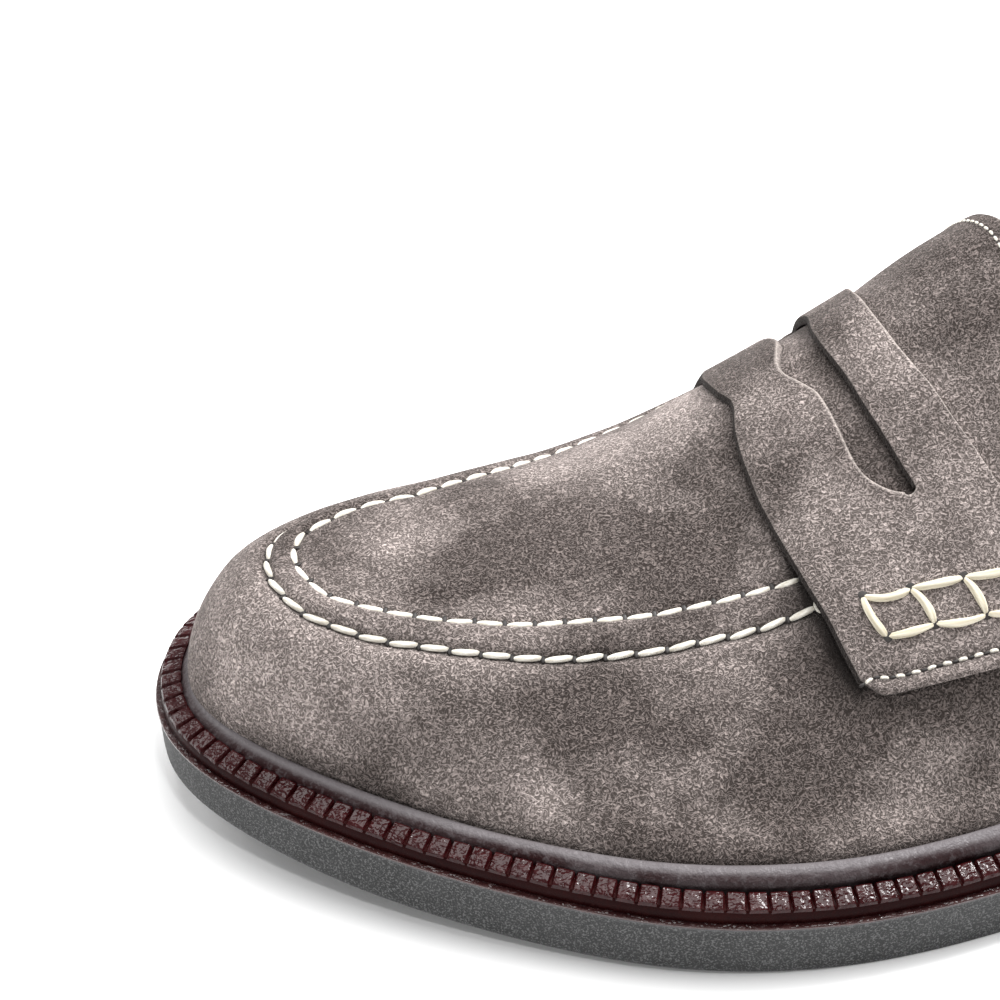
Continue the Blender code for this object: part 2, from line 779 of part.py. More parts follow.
def main() -> None:
    """Build the shoe."""
    clear_scene()
    suede = make_material("suede", (0.155, 0.132, 0.118), 0.95)
    strap_suede = make_material("strap_suede", (0.150, 0.128, 0.114), 0.95)
    tongue_suede = make_material("tongue_suede", (0.140, 0.120, 0.108), 0.95)
    rubber = make_material("rubber", (0.085, 0.088, 0.090), 0.85)
    burgundy = make_material("burgundy", (0.055, 0.016, 0.018), 0.40)
    welt_burgundy = make_material("welt_burgundy", (0.060, 0.020, 0.022), 0.45)
    sock = make_material("sock", (0.36, 0.25, 0.16), 0.60)
    add_sole_unit(rubber, burgundy, sock)
    add_welt(welt_burgundy)
    add_upper(suede)
    add_tongue(tongue_suede)
    add_saddle(strap_suede)
    centre_on_floor()


main()
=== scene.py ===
"""Looks of a grey suede penny loafer, a left shoe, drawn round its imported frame.

Every leather piece follows one last: ribs that rise from the feather line round the sole to a spine
along the top of the foot. A place on the last is given by the rib's end on the spine and by the girth
out from the spine, positive on the outer side. Sizes are millimetres, X to the toe, Y to the outer
side, Z up, and meshes are moved and scaled once into the frame's metres.
"""

from __future__ import annotations

import logging
import math
from dataclasses import dataclass, field
from enum import Enum
from typing import NamedTuple, Sequence

import bpy
import numpy as np
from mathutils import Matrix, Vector

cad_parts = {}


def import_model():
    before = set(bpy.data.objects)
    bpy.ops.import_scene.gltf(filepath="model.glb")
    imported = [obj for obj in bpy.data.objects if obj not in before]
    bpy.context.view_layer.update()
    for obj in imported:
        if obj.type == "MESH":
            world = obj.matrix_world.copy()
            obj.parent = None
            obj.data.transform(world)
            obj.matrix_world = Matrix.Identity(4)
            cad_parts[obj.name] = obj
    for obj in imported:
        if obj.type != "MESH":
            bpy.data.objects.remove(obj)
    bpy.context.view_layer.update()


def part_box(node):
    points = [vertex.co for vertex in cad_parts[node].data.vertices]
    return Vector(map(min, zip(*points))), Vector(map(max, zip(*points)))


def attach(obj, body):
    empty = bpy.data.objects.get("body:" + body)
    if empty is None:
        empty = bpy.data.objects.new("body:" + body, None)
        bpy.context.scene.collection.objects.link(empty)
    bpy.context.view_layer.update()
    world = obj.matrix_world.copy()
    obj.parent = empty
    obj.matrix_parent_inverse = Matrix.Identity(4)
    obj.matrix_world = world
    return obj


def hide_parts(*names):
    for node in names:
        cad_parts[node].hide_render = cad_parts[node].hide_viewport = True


LOG = logging.getLogger("loafer")
MM = 0.001

Array = np.ndarray
Colour = tuple[float, float, float]
Point = tuple[float, float, float]
Material = bpy.types.Material
Node = bpy.types.Node
Object = bpy.types.Object
Socket = bpy.types.NodeSocket
Tree = bpy.types.NodeTree
Values = dict[str | int, object]


class Side(Enum):
    """Sides of the shoe, with the sign of the girth there."""

    OUTER = 1.0
    INNER = -1.0


class Rib(NamedTuple):
    """A rib of the last: its foot on the sole outline, its top on the spine, and its two handles."""

    place: str
    sole_x: float
    sole_y: float
    top_x: float
    wall: float
    crown: float
    lean: float
    reach: float


class SpinePoint(NamedTuple):
    """A point of the last's top line."""

    x: float
    y: float
    z: float


class SoleStation(NamedTuple):
    """Height of the tread and thickness of the rubber at a distance along the shoe."""

    x: float
    tread: float
    rubber: float


class EdgePoint(NamedTuple):
    """Height of the upper's top edge, by place along the sole behind and along the spine in front."""

    x: float
    z: float


class SeamRow(NamedTuple):
    """Girths of the apron's two stitch rows at a distance round the sole."""

    around: float
    outer: float
    inner: float


class FootRow(NamedTuple):
    """How far the upper swells over the welt, and the height where the swelling ends, by distance round."""

    around: float
    swell: float
    fade: float


class StrapRow(NamedTuple):
    """Edges of the saddle, as places along the spine, at a girth out from the middle."""

    girth: float
    front: float
    rear: float
    inner_front: float


class SlotRow(NamedTuple):
    """Edges of the slot at a girth out from the middle."""

    girth: float
    front: float
    rear: float


class Place(NamedTuple):
    """A place on the last: along the spine, and girth out from it."""

    x: float
    girth: float


class TongueRow(NamedTuple):
    """Girths of the tongue's two edges at a place along the spine."""

    x: float
    outer: float
    inner: float


class Crease(NamedTuple):
    """A soft trough in the upper between two places, given by distance round the sole and girth."""

    start: float
    start_girth: float
    end: float
    end_girth: float
    width: float
    depth: float


class BeadPoint(NamedTuple):
    """A point of the bead's section: out from its front, up from the deck, and how pale: painted sheen
    atop, painted shade below.
    """

    out: float
    height: float
    wear: float


class Patch(NamedTuple):
    """A lighter or darker cloud, partly mottling of the nap and partly painted light and shade, centred on
    a point of the shoe.
    """

    x: float
    y: float
    z: float
    size: float
    shade: float


def table(kind: type, *rows: tuple[float, ...]) -> tuple:
    """Named rows of one kind from plain numbers."""
    return tuple(kind(*row) for row in rows)


# Ribs from the heel's back, along the outer side to the toe and home along the inner side
RIBS = (
    Rib("heel back", -151.0, 2.0, -112.0, 0.50, 0.70, 4.0, 8.5),
    Rib("heel, outer", -137.0, 26.0, -112.0, 0.50, 0.62, 4.0, 8.5),
    Rib("seat, outer", -105.0, 37.0, -98.0, 0.52, 0.42, 3.0, 8.8),
    Rib("rear waist, outer", -62.0, 38.0, -60.0, 0.52, 0.36, 2.0, 8.8),
    Rib("waist, outer", -20.0, 44.0, -20.0, 0.44, 0.42, 2.0, 9.0),
    Rib("quarter, outer", 18.0, 52.4, 18.0, 0.40, 0.41, 3.0, 9.5),
    Rib("ball, outer", 63.0, 56.7, 60.0, 0.28, 0.37, 4.0, 9.5),
    Rib("vamp, outer", 91.0, 50.2, 82.0, 0.31, 0.40, 4.0, 9.2),
    Rib("toe, outer", 115.7, 34.6, 94.0, 0.45, 0.50, 4.0, 8.6),
    Rib("corner, outer", 138.8, 13.2, 99.0, 0.82, 0.66, 4.0, 7.8),
    Rib("toe tip", 151.0, -10.0, 100.0, 0.91, 0.89, 4.0, 7.6),
    Rib("corner, inner", 142.5, -33.5, 99.0, 0.76, 0.84, 4.0, 7.8),
    Rib("toe, inner", 122.0, -46.0, 94.0, 0.50, 0.66, 4.0, 8.4),
    Rib("ball, inner", 80.0, -54.5, 76.0, 0.42, 0.38, 4.0, 9.2),
    Rib("instep, inner", 35.0, -49.5, 35.0, 0.48, 0.46, 3.0, 9.2),
    Rib("waist, inner", -8.0, -38.5, -8.0, 0.62, 0.62, 2.0, 9.0),
    Rib("rear waist, inner", -50.0, -33.0, -50.0, 0.54, 0.40, 2.0, 8.8),
    Rib("seat, inner", -103.0, -34.5, -98.0, 0.52, 0.42, 3.0, 8.8),
    Rib("heel, inner", -137.0, -23.0, -112.0, 0.50, 0.62, 4.0, 8.5),
)
TIP = 10
FIRST_OUTER = 2
LAST_INNER = 17

SPINE = table(
    SpinePoint,
    (-112.0, 1.0, 102.0), (-60.0, -1.0, 99.0), (-20.0, -4.0, 92.0), (14.0, -8.0, 78.6),
    (41.0, -10.0, 64.3), (62.0, -11.5, 52.2), (73.0, -12.0, 46.6), (84.0, -12.5, 43.3),
    (100.0, -14.0, 42.2),
)

SOLE = table(
    SoleStation,
    (-151.0, 18.0, 7.5), (-115.0, 17.5, 7.5), (-80.0, 16.0, 7.5), (-50.0, 11.0, 7.5), (-20.0, 4.0, 8.1),
    (0.0, 0.9, 8.5), (15.0, 0.0, 8.5), (62.0, 0.0, 8.5), (90.0, 0.7, 8.6), (110.0, 1.7, 8.8),
    (130.0, 3.7, 8.5), (151.0, 7.8, 6.9),
)

THROAT_X = 44.0
TOP_EDGE = table(
    EdgePoint,
    (-151.0, 78.0), (-142.0, 76.0), (-122.0, 69.5), (-95.0, 62.0), (-65.0, 56.5), (-35.0, 53.2),
    (5.0, 51.5), (25.0, 50.8), (33.0, 50.8), (38.0, 54.0), (THROAT_X, 62.6),
)

SEAM = table(
    SeamRow,
    (195.0, 41.5, 36.5), (230.0, 36.9, 32.3), (244.0, 34.6, 29.0), (255.0, 32.5, 26.9),
    (267.0, 31.2, 25.5), (280.0, 30.2, 24.6), (298.0, 29.0, 24.2), (308.0, 29.4, 24.9),
    (317.0, 30.9, 26.1), (325.0, 32.3, 27.7), (336.0, 34.1, 29.9), (347.0, 34.3, 30.2),
    (354.0, 33.9, 29.8), (359.0, 33.2, 29.0), (364.5, 32.2, 27.6), (367.5, 30.4, 25.4),
    (370.5, 28.6, 23.7), (374.0, 26.5, 21.5), (377.0, 24.2, 19.3), (380.5, 22.0, 17.0),
    (384.5, 19.8, 14.8), (389.0, 19.4, 14.6), (396.5, 18.9, 14.1), (404.0, 18.7, 13.9),
    (413.0, 19.3, 14.5), (422.0, 21.2, 16.4), (430.0, 23.8, 19.0), (441.0, 27.4, 22.6),
    (461.0, 31.4, 26.6), (492.0, 34.4, 29.6),
)

FOOT = table(
    FootRow,
    (0.0, 1.0, 10.0), (120.0, 1.4, 10.0), (180.0, 2.0, 11.0), (220.0, 2.4, 11.0), (262.0, 2.4, 11.0),
    (290.0, 1.4, 11.0), (312.0, 1.0, 12.0), (330.0, 1.2, 14.0), (346.8, 1.9, 16.0), (356.0, 2.3, 17.0),
    (368.0, 2.3, 17.0), (380.0, 1.9, 17.0), (395.0, 1.6, 15.0), (420.0, 1.8, 12.0), (450.0, 1.9, 11.0),
    (500.0, 1.6, 10.0), (600.0, 1.2, 10.0), (688.3, 1.0, 10.0),
)

STRAP = table(
    StrapRow,
    (0.0, 61.9, 40.8, 61.9), (1.5, 62.0, 40.7, 62.2), (4.0, 62.8, 40.4, 62.6), (7.5, 63.5, 39.9, 62.9),
    (12.0, 63.8, 38.9, 62.3), (16.4, 63.8, 37.7, 60.9), (22.0, 63.3, 36.5, 59.2),
    (28.2, 62.3, 34.9, 58.2), (34.0, 61.2, 33.4, 57.8), (40.0, 59.9, 31.8, 57.7),
    (45.0, 59.1, 30.5, 57.9), (50.0, 58.1, 29.2, 58.1), (60.0, 56.6, 26.6, 56.6),
)
STRAP_END = table(
    Place,
    (58.1, 49.9), (57.6, 50.7), (56.0, 53.0), (55.0, 53.7), (46.4, 56.4), (39.2, 58.4), (30.0, 60.8),
    (27.6, 61.3), (26.7, 61.0), (26.6, 60.0),
)

SLOT = table(
    SlotRow,
    (0.0, 54.5, 48.3), (1.4, 54.2, 48.2), (4.4, 52.9, 47.8), (8.0, 51.5, 47.3), (13.0, 51.0, 46.7),
    (19.0, 50.65, 45.7), (22.5, 50.0, 45.1), (25.2, 48.7, 44.6), (27.5, 46.9, 44.1), (28.7, 45.5, 43.9),
)

TONGUE = table(
    TongueRow,
    (20.0, 14.0, 21.0), (21.0, 18.5, 24.0), (23.0, 23.0, 27.0), (25.5, 28.5, 30.0), (28.0, 32.5, 33.0),
    (32.0, 36.0, 36.0), (42.4, 36.0, 36.0),
)

LADDER_TOP = table(
    Place,
    (54.9, 39.2), (48.4, 41.7), (41.1, 44.2), (33.8, 46.8),
)
LADDER_BOTTOM = table(
    Place,
    (53.2, 46.2), (46.5, 48.0), (39.3, 50.6), (32.4, 53.2),
)
# How far the middle of each strand sags: along the top, along the bottom, then the rungs
LADDER_SAG = (0.75, 0.15, 0.25, 0.25, 0.55, 0.30, -0.35, 0.40, 0.30, 0.25)

CREASES = table(
    Crease,
    (319.0, 24.0, 300.0, 20.0, 1.5, 0.42), (312.0, 20.5, 299.0, 17.4, 1.3, 0.30),
    (256.0, 35.2, 243.0, 40.2, 1.4, 0.50), (264.0, 36.5, 247.0, 42.0, 1.8, 0.38),
    (240.0, 43.0, 229.0, 47.0, 2.2, 0.45), (246.0, 22.0, 236.0, 10.0, 3.2, 0.40),
)

PATCHES = table(
    Patch,
    (132.2, 8.1, 27.0, 8.5, 1.00), (106.3, 29.1, 21.0, 5.0, 0.75), (121.3, 19.3, 22.2, 7.0, 0.80),
    (87.4, 36.8, 21.6, 8.0, 0.45), (61.5, 36.8, 28.8, 8.0, -0.35), (138.0, -10.7, 36.8, 10.0, 0.40),
    (141.9, -4.0, 27.9, 8.0, 0.35), (111.9, -10.2, 41.4, 9.0, 0.55), (81.0, -17.4, 43.1, 11.0, 0.65),
    (70.0, -21.1, 45.2, 9.0, 0.75), (61.1, 44.3, 20.0, 9.0, 0.25), (50.7, 45.4, 19.8, 8.0, 0.45),
    (82.9, 28.5, 28.8, 8.0, 0.15), (106.5, -3.7, 40.9, 6.0, -0.80), (114.3, 1.1, 39.1, 6.0, -0.60),
    (81.3, 7.1, 40.1, 6.5, -0.95), (101.1, 19.7, 30.9, 8.0, -0.55), (124.7, 16.9, 18.6, 6.0, -0.60),
    (75.0, 9.2, 41.2, 6.5, -0.90), (63.5, 2.3, 48.7, 8.0, -0.40), (92.9, 22.5, 30.7, 8.0, -0.50),
    (112.8, 18.1, 29.2, 7.0, -0.45), (71.3, 38.5, 24.0, 9.0, -0.35),
)

# The last column paints the bead's top pale as a sheen and its lower face dark as shade.
BEAD = table(
    BeadPoint,
    (-0.55, 0.4, 0.0), (-0.20, 2.3, 0.0), (0.0, 3.05, 0.0), (-0.08, 3.5, 0.0), (-0.35, 3.95, 0.0),
    (-0.75, 4.38, 0.1), (-1.05, 4.6, 0.45), (-1.5, 4.88, 0.95), (-2.15, 5.1, 0.9), (-2.6, 5.05, 0.7),
    (-2.9, 4.7, 0.4), (-3.0, 4.1, 0.2),
)

# Section of a wheeled block, across and up, and its ends, along and how far they drop
BLOCK_SECTION = np.array(
    [
        (1.52, -1.1), (1.56, -0.50), (1.46, -0.24), (1.15, -0.03), (0.40, 0.24),
        (-0.60, 0.58), (-1.10, 0.72), (-1.40, 0.66), (-1.50, 0.35), (-1.50, -1.1),
    ]
)
BLOCK_ENDS = (
    (-0.5, 0.8), (-0.445, 0.28), (-0.39, 0.04), (0.0, 0.0), (0.39, 0.04), (0.445, 0.28), (0.5, 0.8)
)


class RisingCurve:
    """Smooth curve through table points that never overshoots them."""

    def __init__(self, xs: Sequence[float], ys: Sequence[float]) -> None:
        """Work out the slopes.

        Args:
            xs: Places, rising.
            ys: Values at the places.
        """
        self.xs = np.asarray(xs, float)
        self.ys = np.asarray(ys, float)
        self.step = np.diff(self.xs)
        rise = np.diff(self.ys) / self.step
        self.slope = np.zeros(len(self.xs))
        self.slope[0] = rise[0]
        self.slope[-1] = rise[-1]
        for i in range(1, len(self.xs) - 1):
            if rise[i - 1] * rise[i] > 0:
                after = 2 * self.step[i] + self.step[i - 1]
                before = self.step[i] + 2 * self.step[i - 1]
                self.slope[i] = (after + before) / (after / rise[i - 1] + before / rise[i])

    def __call__(self, at: Array | float) -> Array:
        """Read the curve.

        Args:
            at: Places to read it at.

        Returns:
            The values there.
        """
        x = np.clip(np.asarray(at, float), self.xs[0], self.xs[-1])
        k = np.clip(np.searchsorted(self.xs, x, side="right") - 1, 0, len(self.xs) - 2)
        h = self.step[k]
        u = (x - self.xs[k]) / h
        start = (2 * u**3 - 3 * u**2 + 1) * self.ys[k] + (u**3 - 2 * u**2 + u) * h * self.slope[k]
        end = (3 * u**2 - 2 * u**3) * self.ys[k + 1] + (u**3 - u**2) * h * self.slope[k + 1]
        return start + end


def curves(rows: Sequence[tuple[float, ...]]) -> list[RisingCurve]:
    """Curves of a table's other columns over its first one."""
    places, *columns = zip(*rows)
    return [RisingCurve(places, column) for column in columns]


class ClosedSpline:
    """Closed cubic spline through rows of values, each at its knot."""

    def __init__(self, knots: Array, values: Array) -> None:
        """Solve the spline.

        Args:
            knots: Places of the rows, with the closing place at the end.
            values: One row of values for each place.
        """
        count = len(values)
        self.knots = knots
        self.values = values
        self.step = np.diff(knots)
        matrix = np.zeros((count, count))
        right = np.zeros(values.shape)
        for i in range(count):
            after = (i + 1) % count
            matrix[i, i - 1] += self.step[i - 1]
            matrix[i, i] += 2 * (self.step[i - 1] + self.step[i])
            matrix[i, after] += self.step[i]
            right[i] = 6 * (values[after] - values[i]) / self.step[i]
            right[i] -= 6 * (values[i] - values[i - 1]) / self.step[i - 1]
        self.bend = np.linalg.solve(matrix, right)

    def __call__(self, at: Array) -> Array:
        """Read the spline.

        Args:
            at: Places to read it at.

        Returns:
            One row of values for each place.
        """
        at = np.asarray(at, float) % self.knots[-1]
        k = np.clip(np.searchsorted(self.knots, at, side="right") - 1, 0, len(self.values) - 1)
        n = (k + 1) % len(self.values)
        h = self.step[k][:, None]
        a = (self.knots[k + 1] - at)[:, None]
        b = (at - self.knots[k])[:, None]
        cubic = (self.bend[k] * a**3 + self.bend[n] * b**3) / (6 * h)
        return (
            cubic
            + (self.values[k] / h - self.bend[k] * h / 6) * a
            + (self.values[n] / h - self.bend[n] * h / 6) * b
        )


def smooth_step(low: Array | float, high: float, value: Array | float) -> Array:
    """Rise softly from 0 to 1 as the value goes from low to high, which may be the lower of the two."""
    share = np.clip((np.asarray(value, float) - low) / (high - low), 0.0, 1.0)
    return share * share * (3 - 2 * share)


def hump(value: Array, middle: Array | float, width: float) -> Array:
    """Bell shape, one at its middle and near nothing two widths away."""
    return np.exp(-(((value - middle) / width) ** 2))


def fade(value: Array, width: float) -> Array:
    """Shares that fall from one at nothing to none at a width."""
    return np.clip(1 - value / width, 0.0, 1.0)


def unit(vectors: Array) -> Array:
    """Vectors made one long."""
    return vectors / np.linalg.norm(vectors, axis=-1, keepdims=True)


def turns(count: int) -> Array:
    """Even angles round a circle."""
    return np.linspace(0.0, 2 * math.pi, count, endpoint=False)


def resample(points: Array, at: Array, along: Array | None = None) -> Array:
    """Read rows of values at other places along them.

    Args:
        points: Rows of values.
        at: Places to read.
        along: Place of each row, or the length along the rows as a line.

    Returns:
        One row for each place.
    """
    if along is None:
        along = lengths(points)
    return np.column_stack([np.interp(at, along, column) for column in points.T])


def lengths(points: Array) -> Array:
    """Lengths along a line, one at each of its points."""
    return np.concatenate([[0.0], np.cumsum(np.linalg.norm(np.diff(points, axis=0), axis=1))])


def place(name: str, data: bpy.types.ID) -> Object:
    """Put a new object in the scene.

    Args:
        name: Name of the object.
        data: Its mesh, lamp or camera.

    Returns:
        The object.
    """
    made = bpy.data.objects.new(name, data)
    bpy.context.scene.collection.objects.link(made)
    return made


@dataclass
class Last:
    """The form that the shoe is drawn over.

    Attributes:
        gap: Clearance between layers.
        midsole: Thickness of the midsole.
        rib_samples: Points read along a rib to measure girths.
    """

    gap: float = 0.3
    midsole: float = 0.9
    rib_samples: int = 110
    side_samples: int = 900

    def __post_init__(self) -> None:
        """Solve the outline and read the side tables."""
        values = np.array([rib[1:] for rib in RIBS])
        plan = values[:, :2]
        chords = np.linalg.norm(np.roll(plan, -1, 0) - plan, axis=1)
        self.knots = np.concatenate([[0.0], np.cumsum(chords)])
        self.total = float(self.knots[-1])
        self.tip = float(self.knots[TIP])
        self.spline = ClosedSpline(self.knots, values)
        self.columns = {name: i for i, name in enumerate(Rib._fields[1:])}
        self.tread, self.rubber = curves(SOLE)
        self.spine_y, self.spine_z = curves(SPINE)
        self.edge_z = curves(TOP_EDGE)[0]
        outer = np.linspace(self.knots[FIRST_OUTER], self.tip, self.side_samples)
        inner = np.linspace(self.knots[LAST_INNER], self.tip, self.side_samples)
        ways = zip(Side, (outer, inner))
        self.sides = {side: (np.maximum.accumulate(self.top_x(way)), way) for side, way in ways}
        self.offset = np.zeros(3)

    def settle(self, low: Vector, high: Vector, proud: float) -> None:
        """Find where the frame puts the last, from the midsole's box.

        Args:
            low: Lowest corner of the midsole in the frame, in metres.
            high: Its highest corner.
            proud: How far the midsole stands out from the sole outline.
        """
        edge, out = self.sole_edge(self.stations(2400))
        rim = edge + out * proud
        middle = (rim.min(axis=0) + rim.max(axis=0)) / 2
        self.offset = np.array(
            [(low.x + high.x) / 2 / MM - middle[0], (low.y + high.y) / 2 / MM - middle[1], 0.0]
        )

    def stations(self, count: int) -> Array:
        """Even distances round the sole."""
        return np.linspace(0.0, self.total, count, endpoint=False)

    def path(self, around: Array, up: Array, away: Array | float) -> Path:
        """Line at a distance out from the last."""
        return Path(self.skin(around, up, away), self.normal(around, up))

    def to_frame(self, points: Array) -> Array:
        """Points of the last in the frame's metres."""
        return (np.asarray(points, float) + self.offset) * MM

    def column(self, around: Array, name: str) -> Array:
        """One column of the rib table, smoothly read at distances round the sole."""
        return self.spline(np.atleast_1d(around))[:, self.columns[name]]

    def top_x(self, around: Array) -> Array:
        """Places on the spine where ribs end."""
        return np.minimum(self.column(around, "top_x"), SPINE[-1].x)

    def sole_edge(self, around: Array) -> tuple[Array, Array]:
        """Points of the sole outline.

        Args:
            around: Distances round the sole.

        Returns:
            The points, and the outward directions there.
        """
        reach = 0.25
        around = np.atleast_1d(np.asarray(around, float))
        here = self.spline(around)[:, :2]
        along = unit(self.spline(around + reach)[:, :2] - self.spline(around - reach)[:, :2])
        return here, np.stack([-along[:, 1], along[:, 0]], axis=1)

    def rubber_top(self, x: Array) -> Array:
        """Top of the outsole."""
        return self.tread(x) + self.rubber(x)

    def deck(self, x: Array) -> Array:
        """Height at which the upper, the welt and the insole start."""
        return self.rubber_top(x) + self.gap + self.midsole + self.gap

    def spine(self, x: Array) -> tuple[Array, Array]:
        """Points of the top line.

        Args:
            x: Places along the spine.

        Returns:
            The points, and the slope there.
        """
        probe = 0.5
        x = np.minimum(x, SPINE[-1].x)
        ahead = np.minimum(x + probe, SPINE[-1].x)
        slope = (self.spine_z(ahead) - self.spine_z(x - probe)) / (ahead - x + probe)
        return np.stack([x, self.spine_y(x), self.spine_z(x)], axis=1), slope

    def handles(self, around: Array) -> tuple[Array, Array, Array, Array]:
        """The four handles of ribs.

        Args:
            around: Distances round the sole.

        Returns:
            Their feet, lower handles, upper handles and tops.
        """
        edge, out = self.sole_edge(around)
        plan = edge - out * self.column(around, "reach")[:, None]
        foot = np.column_stack([plan, self.deck(plan[:, 0])])
        top, slope = self.spine(self.column(around, "top_x"))
        rise = (top[:, 2] - foot[:, 2]) * self.column(around, "wall")
        low = foot + np.column_stack([out * self.column(around, "lean")[:, None], rise])
        back = foot - top
        back[:, 2] = back[:, 0] * slope
        return foot, low, top + back * self.column(around, "crown")[:, None], top

    def point(self, around: Array, up: Array) -> Array:
        """Points of the last.

        Args:
            around: Distances round the sole.
            up: Shares of the ribs' way up.

        Returns:
            One point for each pair.
        """
        foot, low, high, top = self.handles(around)
        u = up[:, None]
        v = 1 - u
        return v**3 * foot + 3 * v**2 * u * low + 3 * v * u**2 * high + u**3 * top

    def normal(self, around: Array, up: Array) -> Array:
        """Outward directions of the last.

        Args:
            around: Distances round the sole.
            up: Shares of the ribs' way up.

        Returns:
            One direction for each pair.
        """
        step_round = 0.4
        step_up = 0.01
        up = np.clip(up, step_up, 1 - 1.5 * step_up)
        along = self.point(around + step_round, up) - self.point(around - step_round, up)
        rise = self.point(around, up + step_up) - self.point(around, up - step_up)
        return unit(np.cross(rise, along))

    def skin(self, around: Array, up: Array, away: Array | float) -> Array:
        """Points at a distance out from the last."""
        out = self.normal(around, up) * np.broadcast_to(away, up.shape)[:, None]
        return self.point(around, up) + out

    def rib_girths(self, around: Array) -> tuple[Array, Array, Array]:
        """Girths along whole ribs.

        Args:
            around: Distances round the sole, one for each rib.

        Returns:
            Shares up, girths from the top for each rib, and heights for each rib.
        """
        ups = np.linspace(0.0, 1.0, self.rib_samples)
        count = len(around)
        grid = self.point(np.repeat(around, len(ups)), np.tile(ups, count))
        grid = grid.reshape(count, len(ups), 3)
        steps = np.linalg.norm(np.diff(grid, axis=1), axis=2)
        girth = np.zeros((count, len(ups)))
        girth[:, :-1] = np.cumsum(steps[:, ::-1], axis=1)[:, ::-1]
        return ups, girth, grid[:, :, 2]

    def ups_at(self, around: Array, girth: Array) -> Array:
        """Shares up of ribs, at girths down from their tops."""
        ups, girths, _ = self.rib_girths(around)
        return np.array([np.interp(g, row[::-1], ups[::-1]) for g, row in zip(girth, girths)])

    def rib_from_spine(self, x: Array | float, side: Side) -> Array:
        """Distances round the sole of the ribs that end at x on the spine."""
        tops, around = self.sides[side]
        return np.interp(x, tops, around)

    def places(self, x: Array, girth: Array) -> tuple[Array, Array]:
        """Find places given by spine and girth.

        Args:
            x: Places along the spine.
            girth: Girths, positive on the outer side.

        Returns:
            Distances round the sole, and shares up.
        """
        outer, inner = (self.rib_from_spine(x, side) for side in Side)
        around = np.where(girth >= 0, outer, inner)
        return around, self.ups_at(around, np.abs(girth))

    def edge_height(self, around: Array) -> Array:
        """Height of the upper's top edge on open ribs."""
        x = self.top_x(around)
        return self.edge_z(np.where(x < 0, self.column(around, "sole_x"), x))


@dataclass
class Draft:
    """Points, faces and point marks of one piece while it is drawn, in the last's millimetres."""

    last: Last
    points: list[Array] = field(default_factory=list)
    faces: list[tuple[int, ...]] = field(default_factory=list)
    marks: dict[str, list[Array]] = field(default_factory=dict)
    count: int = 0

    def add(self, points: Array, **marks: Array | float) -> Array:
        """Add points.

        Args:
            points: An array whose last axis is X, Y, Z.
            marks: Named values of the points, which materials read.

        Returns:
            The points' numbers, shaped as the array without its last axis.
        """
        flat = np.asarray(points, float).reshape(-1, 3)
        for name in set(self.marks) | set(marks):
            before = self.marks.setdefault(name, [np.zeros(self.count)])
            value = np.broadcast_to(np.asarray(marks.get(name, 0.0), float), np.shape(points)[:-1])
            before.append(value.reshape(-1))
        numbers = np.arange(self.count, self.count + len(flat)).reshape(np.shape(points)[:-1])
        self.points.append(flat)
        self.count += len(flat)
        return numbers

    def strip(self, first: Array, second: Array, wrap: bool = False, flip: bool = False) -> None:
        """Join two rows of points by quads.

        Args:
            first: Numbers of one row.
            second: Numbers of the other row.
            wrap: Whether the rows are closed.
            flip: Whether the faces are turned round.
        """
        if wrap:
            first = np.append(first, first[0])
            second = np.append(second, second[0])
        a, b, c, d = first[:-1], first[1:], second[1:], second[:-1]
        quads = np.stack([d, c, b, a] if flip else [a, b, c, d], axis=1)
        for quad in quads.tolist():
            corners = tuple(dict.fromkeys(quad))
            if len(corners) > 2:
                self.faces.append(corners)

    def sheet(self, grid: Array, wrap: bool = False, flip: bool = False) -> None:
        """Join a grid of points, row after row, by quads."""
        for first, second in zip(grid[:-1], grid[1:]):
            self.strip(first, second, wrap, flip)

    def cap(self, ring: Array, flip: bool = False) -> None:
        """Close a ring by rungs between its two sides, from its first point to the far end.

        Args:
            ring: Numbers of its points.
            flip: Whether the faces are turned round.
        """
        half = len(ring) // 2
        right = np.concatenate([ring[:1], ring[: half - 1 if len(ring) % 2 == 0 else half : -1]])
        self.strip(ring[: half + 1], right[: half + 1], False, flip)

    def barrel(self, rows: Sequence[Array]) -> None:
        """Join closed rows and close the first and the last.

        Args:
            rows: Numbers of the points of each row.
        """
        self.sheet(np.array(rows), wrap=True)
        self.cap(rows[0])
        self.cap(rows[-1], flip=True)

    def tube(self, rows: Sequence[Array], tips: Array) -> None:
        """Join closed rows and draw them to a point at each end.

        Args:
            rows: Numbers of the points of each row.
            tips: Numbers of the two end points.
        """
        self.sheet(np.array(rows), wrap=True)
        self.strip(np.full(len(rows[0]), tips[0]), rows[0], wrap=True)
        self.strip(rows[-1], np.full(len(rows[0]), tips[1]), wrap=True)

    def piece(self, name: str, material: Material, crisp: float = 45.0) -> Object:
        """Make the object.

        Args:
            name: Name of the piece.
            material: Finish of the piece.
            crisp: Angle in degrees past which an edge is shaded sharp.

        Returns:
            The object, linked to the scene.
        """
        used = np.unique(np.concatenate([np.array(face) for face in self.faces]))
        renumber = np.full(self.count, -1)
        renumber[used] = np.arange(len(used))
        points = self.last.to_frame(np.concatenate(self.points)[used])
        mesh = bpy.data.meshes.new(name)
        faces = [tuple(renumber[list(face)].tolist()) for face in self.faces]
        mesh.from_pydata(points.tolist(), [], faces)
        mesh.update()
        for mark, values in self.marks.items():
            layer = mesh.attributes.new(mark, "FLOAT", "POINT")
            layer.data.foreach_set("value", np.concatenate(values)[used].astype(np.float32))
        mesh.materials.append(material)
        mesh.shade_smooth()
        mesh.set_sharp_from_angle(angle=math.radians(crisp))
        return place(name, mesh)


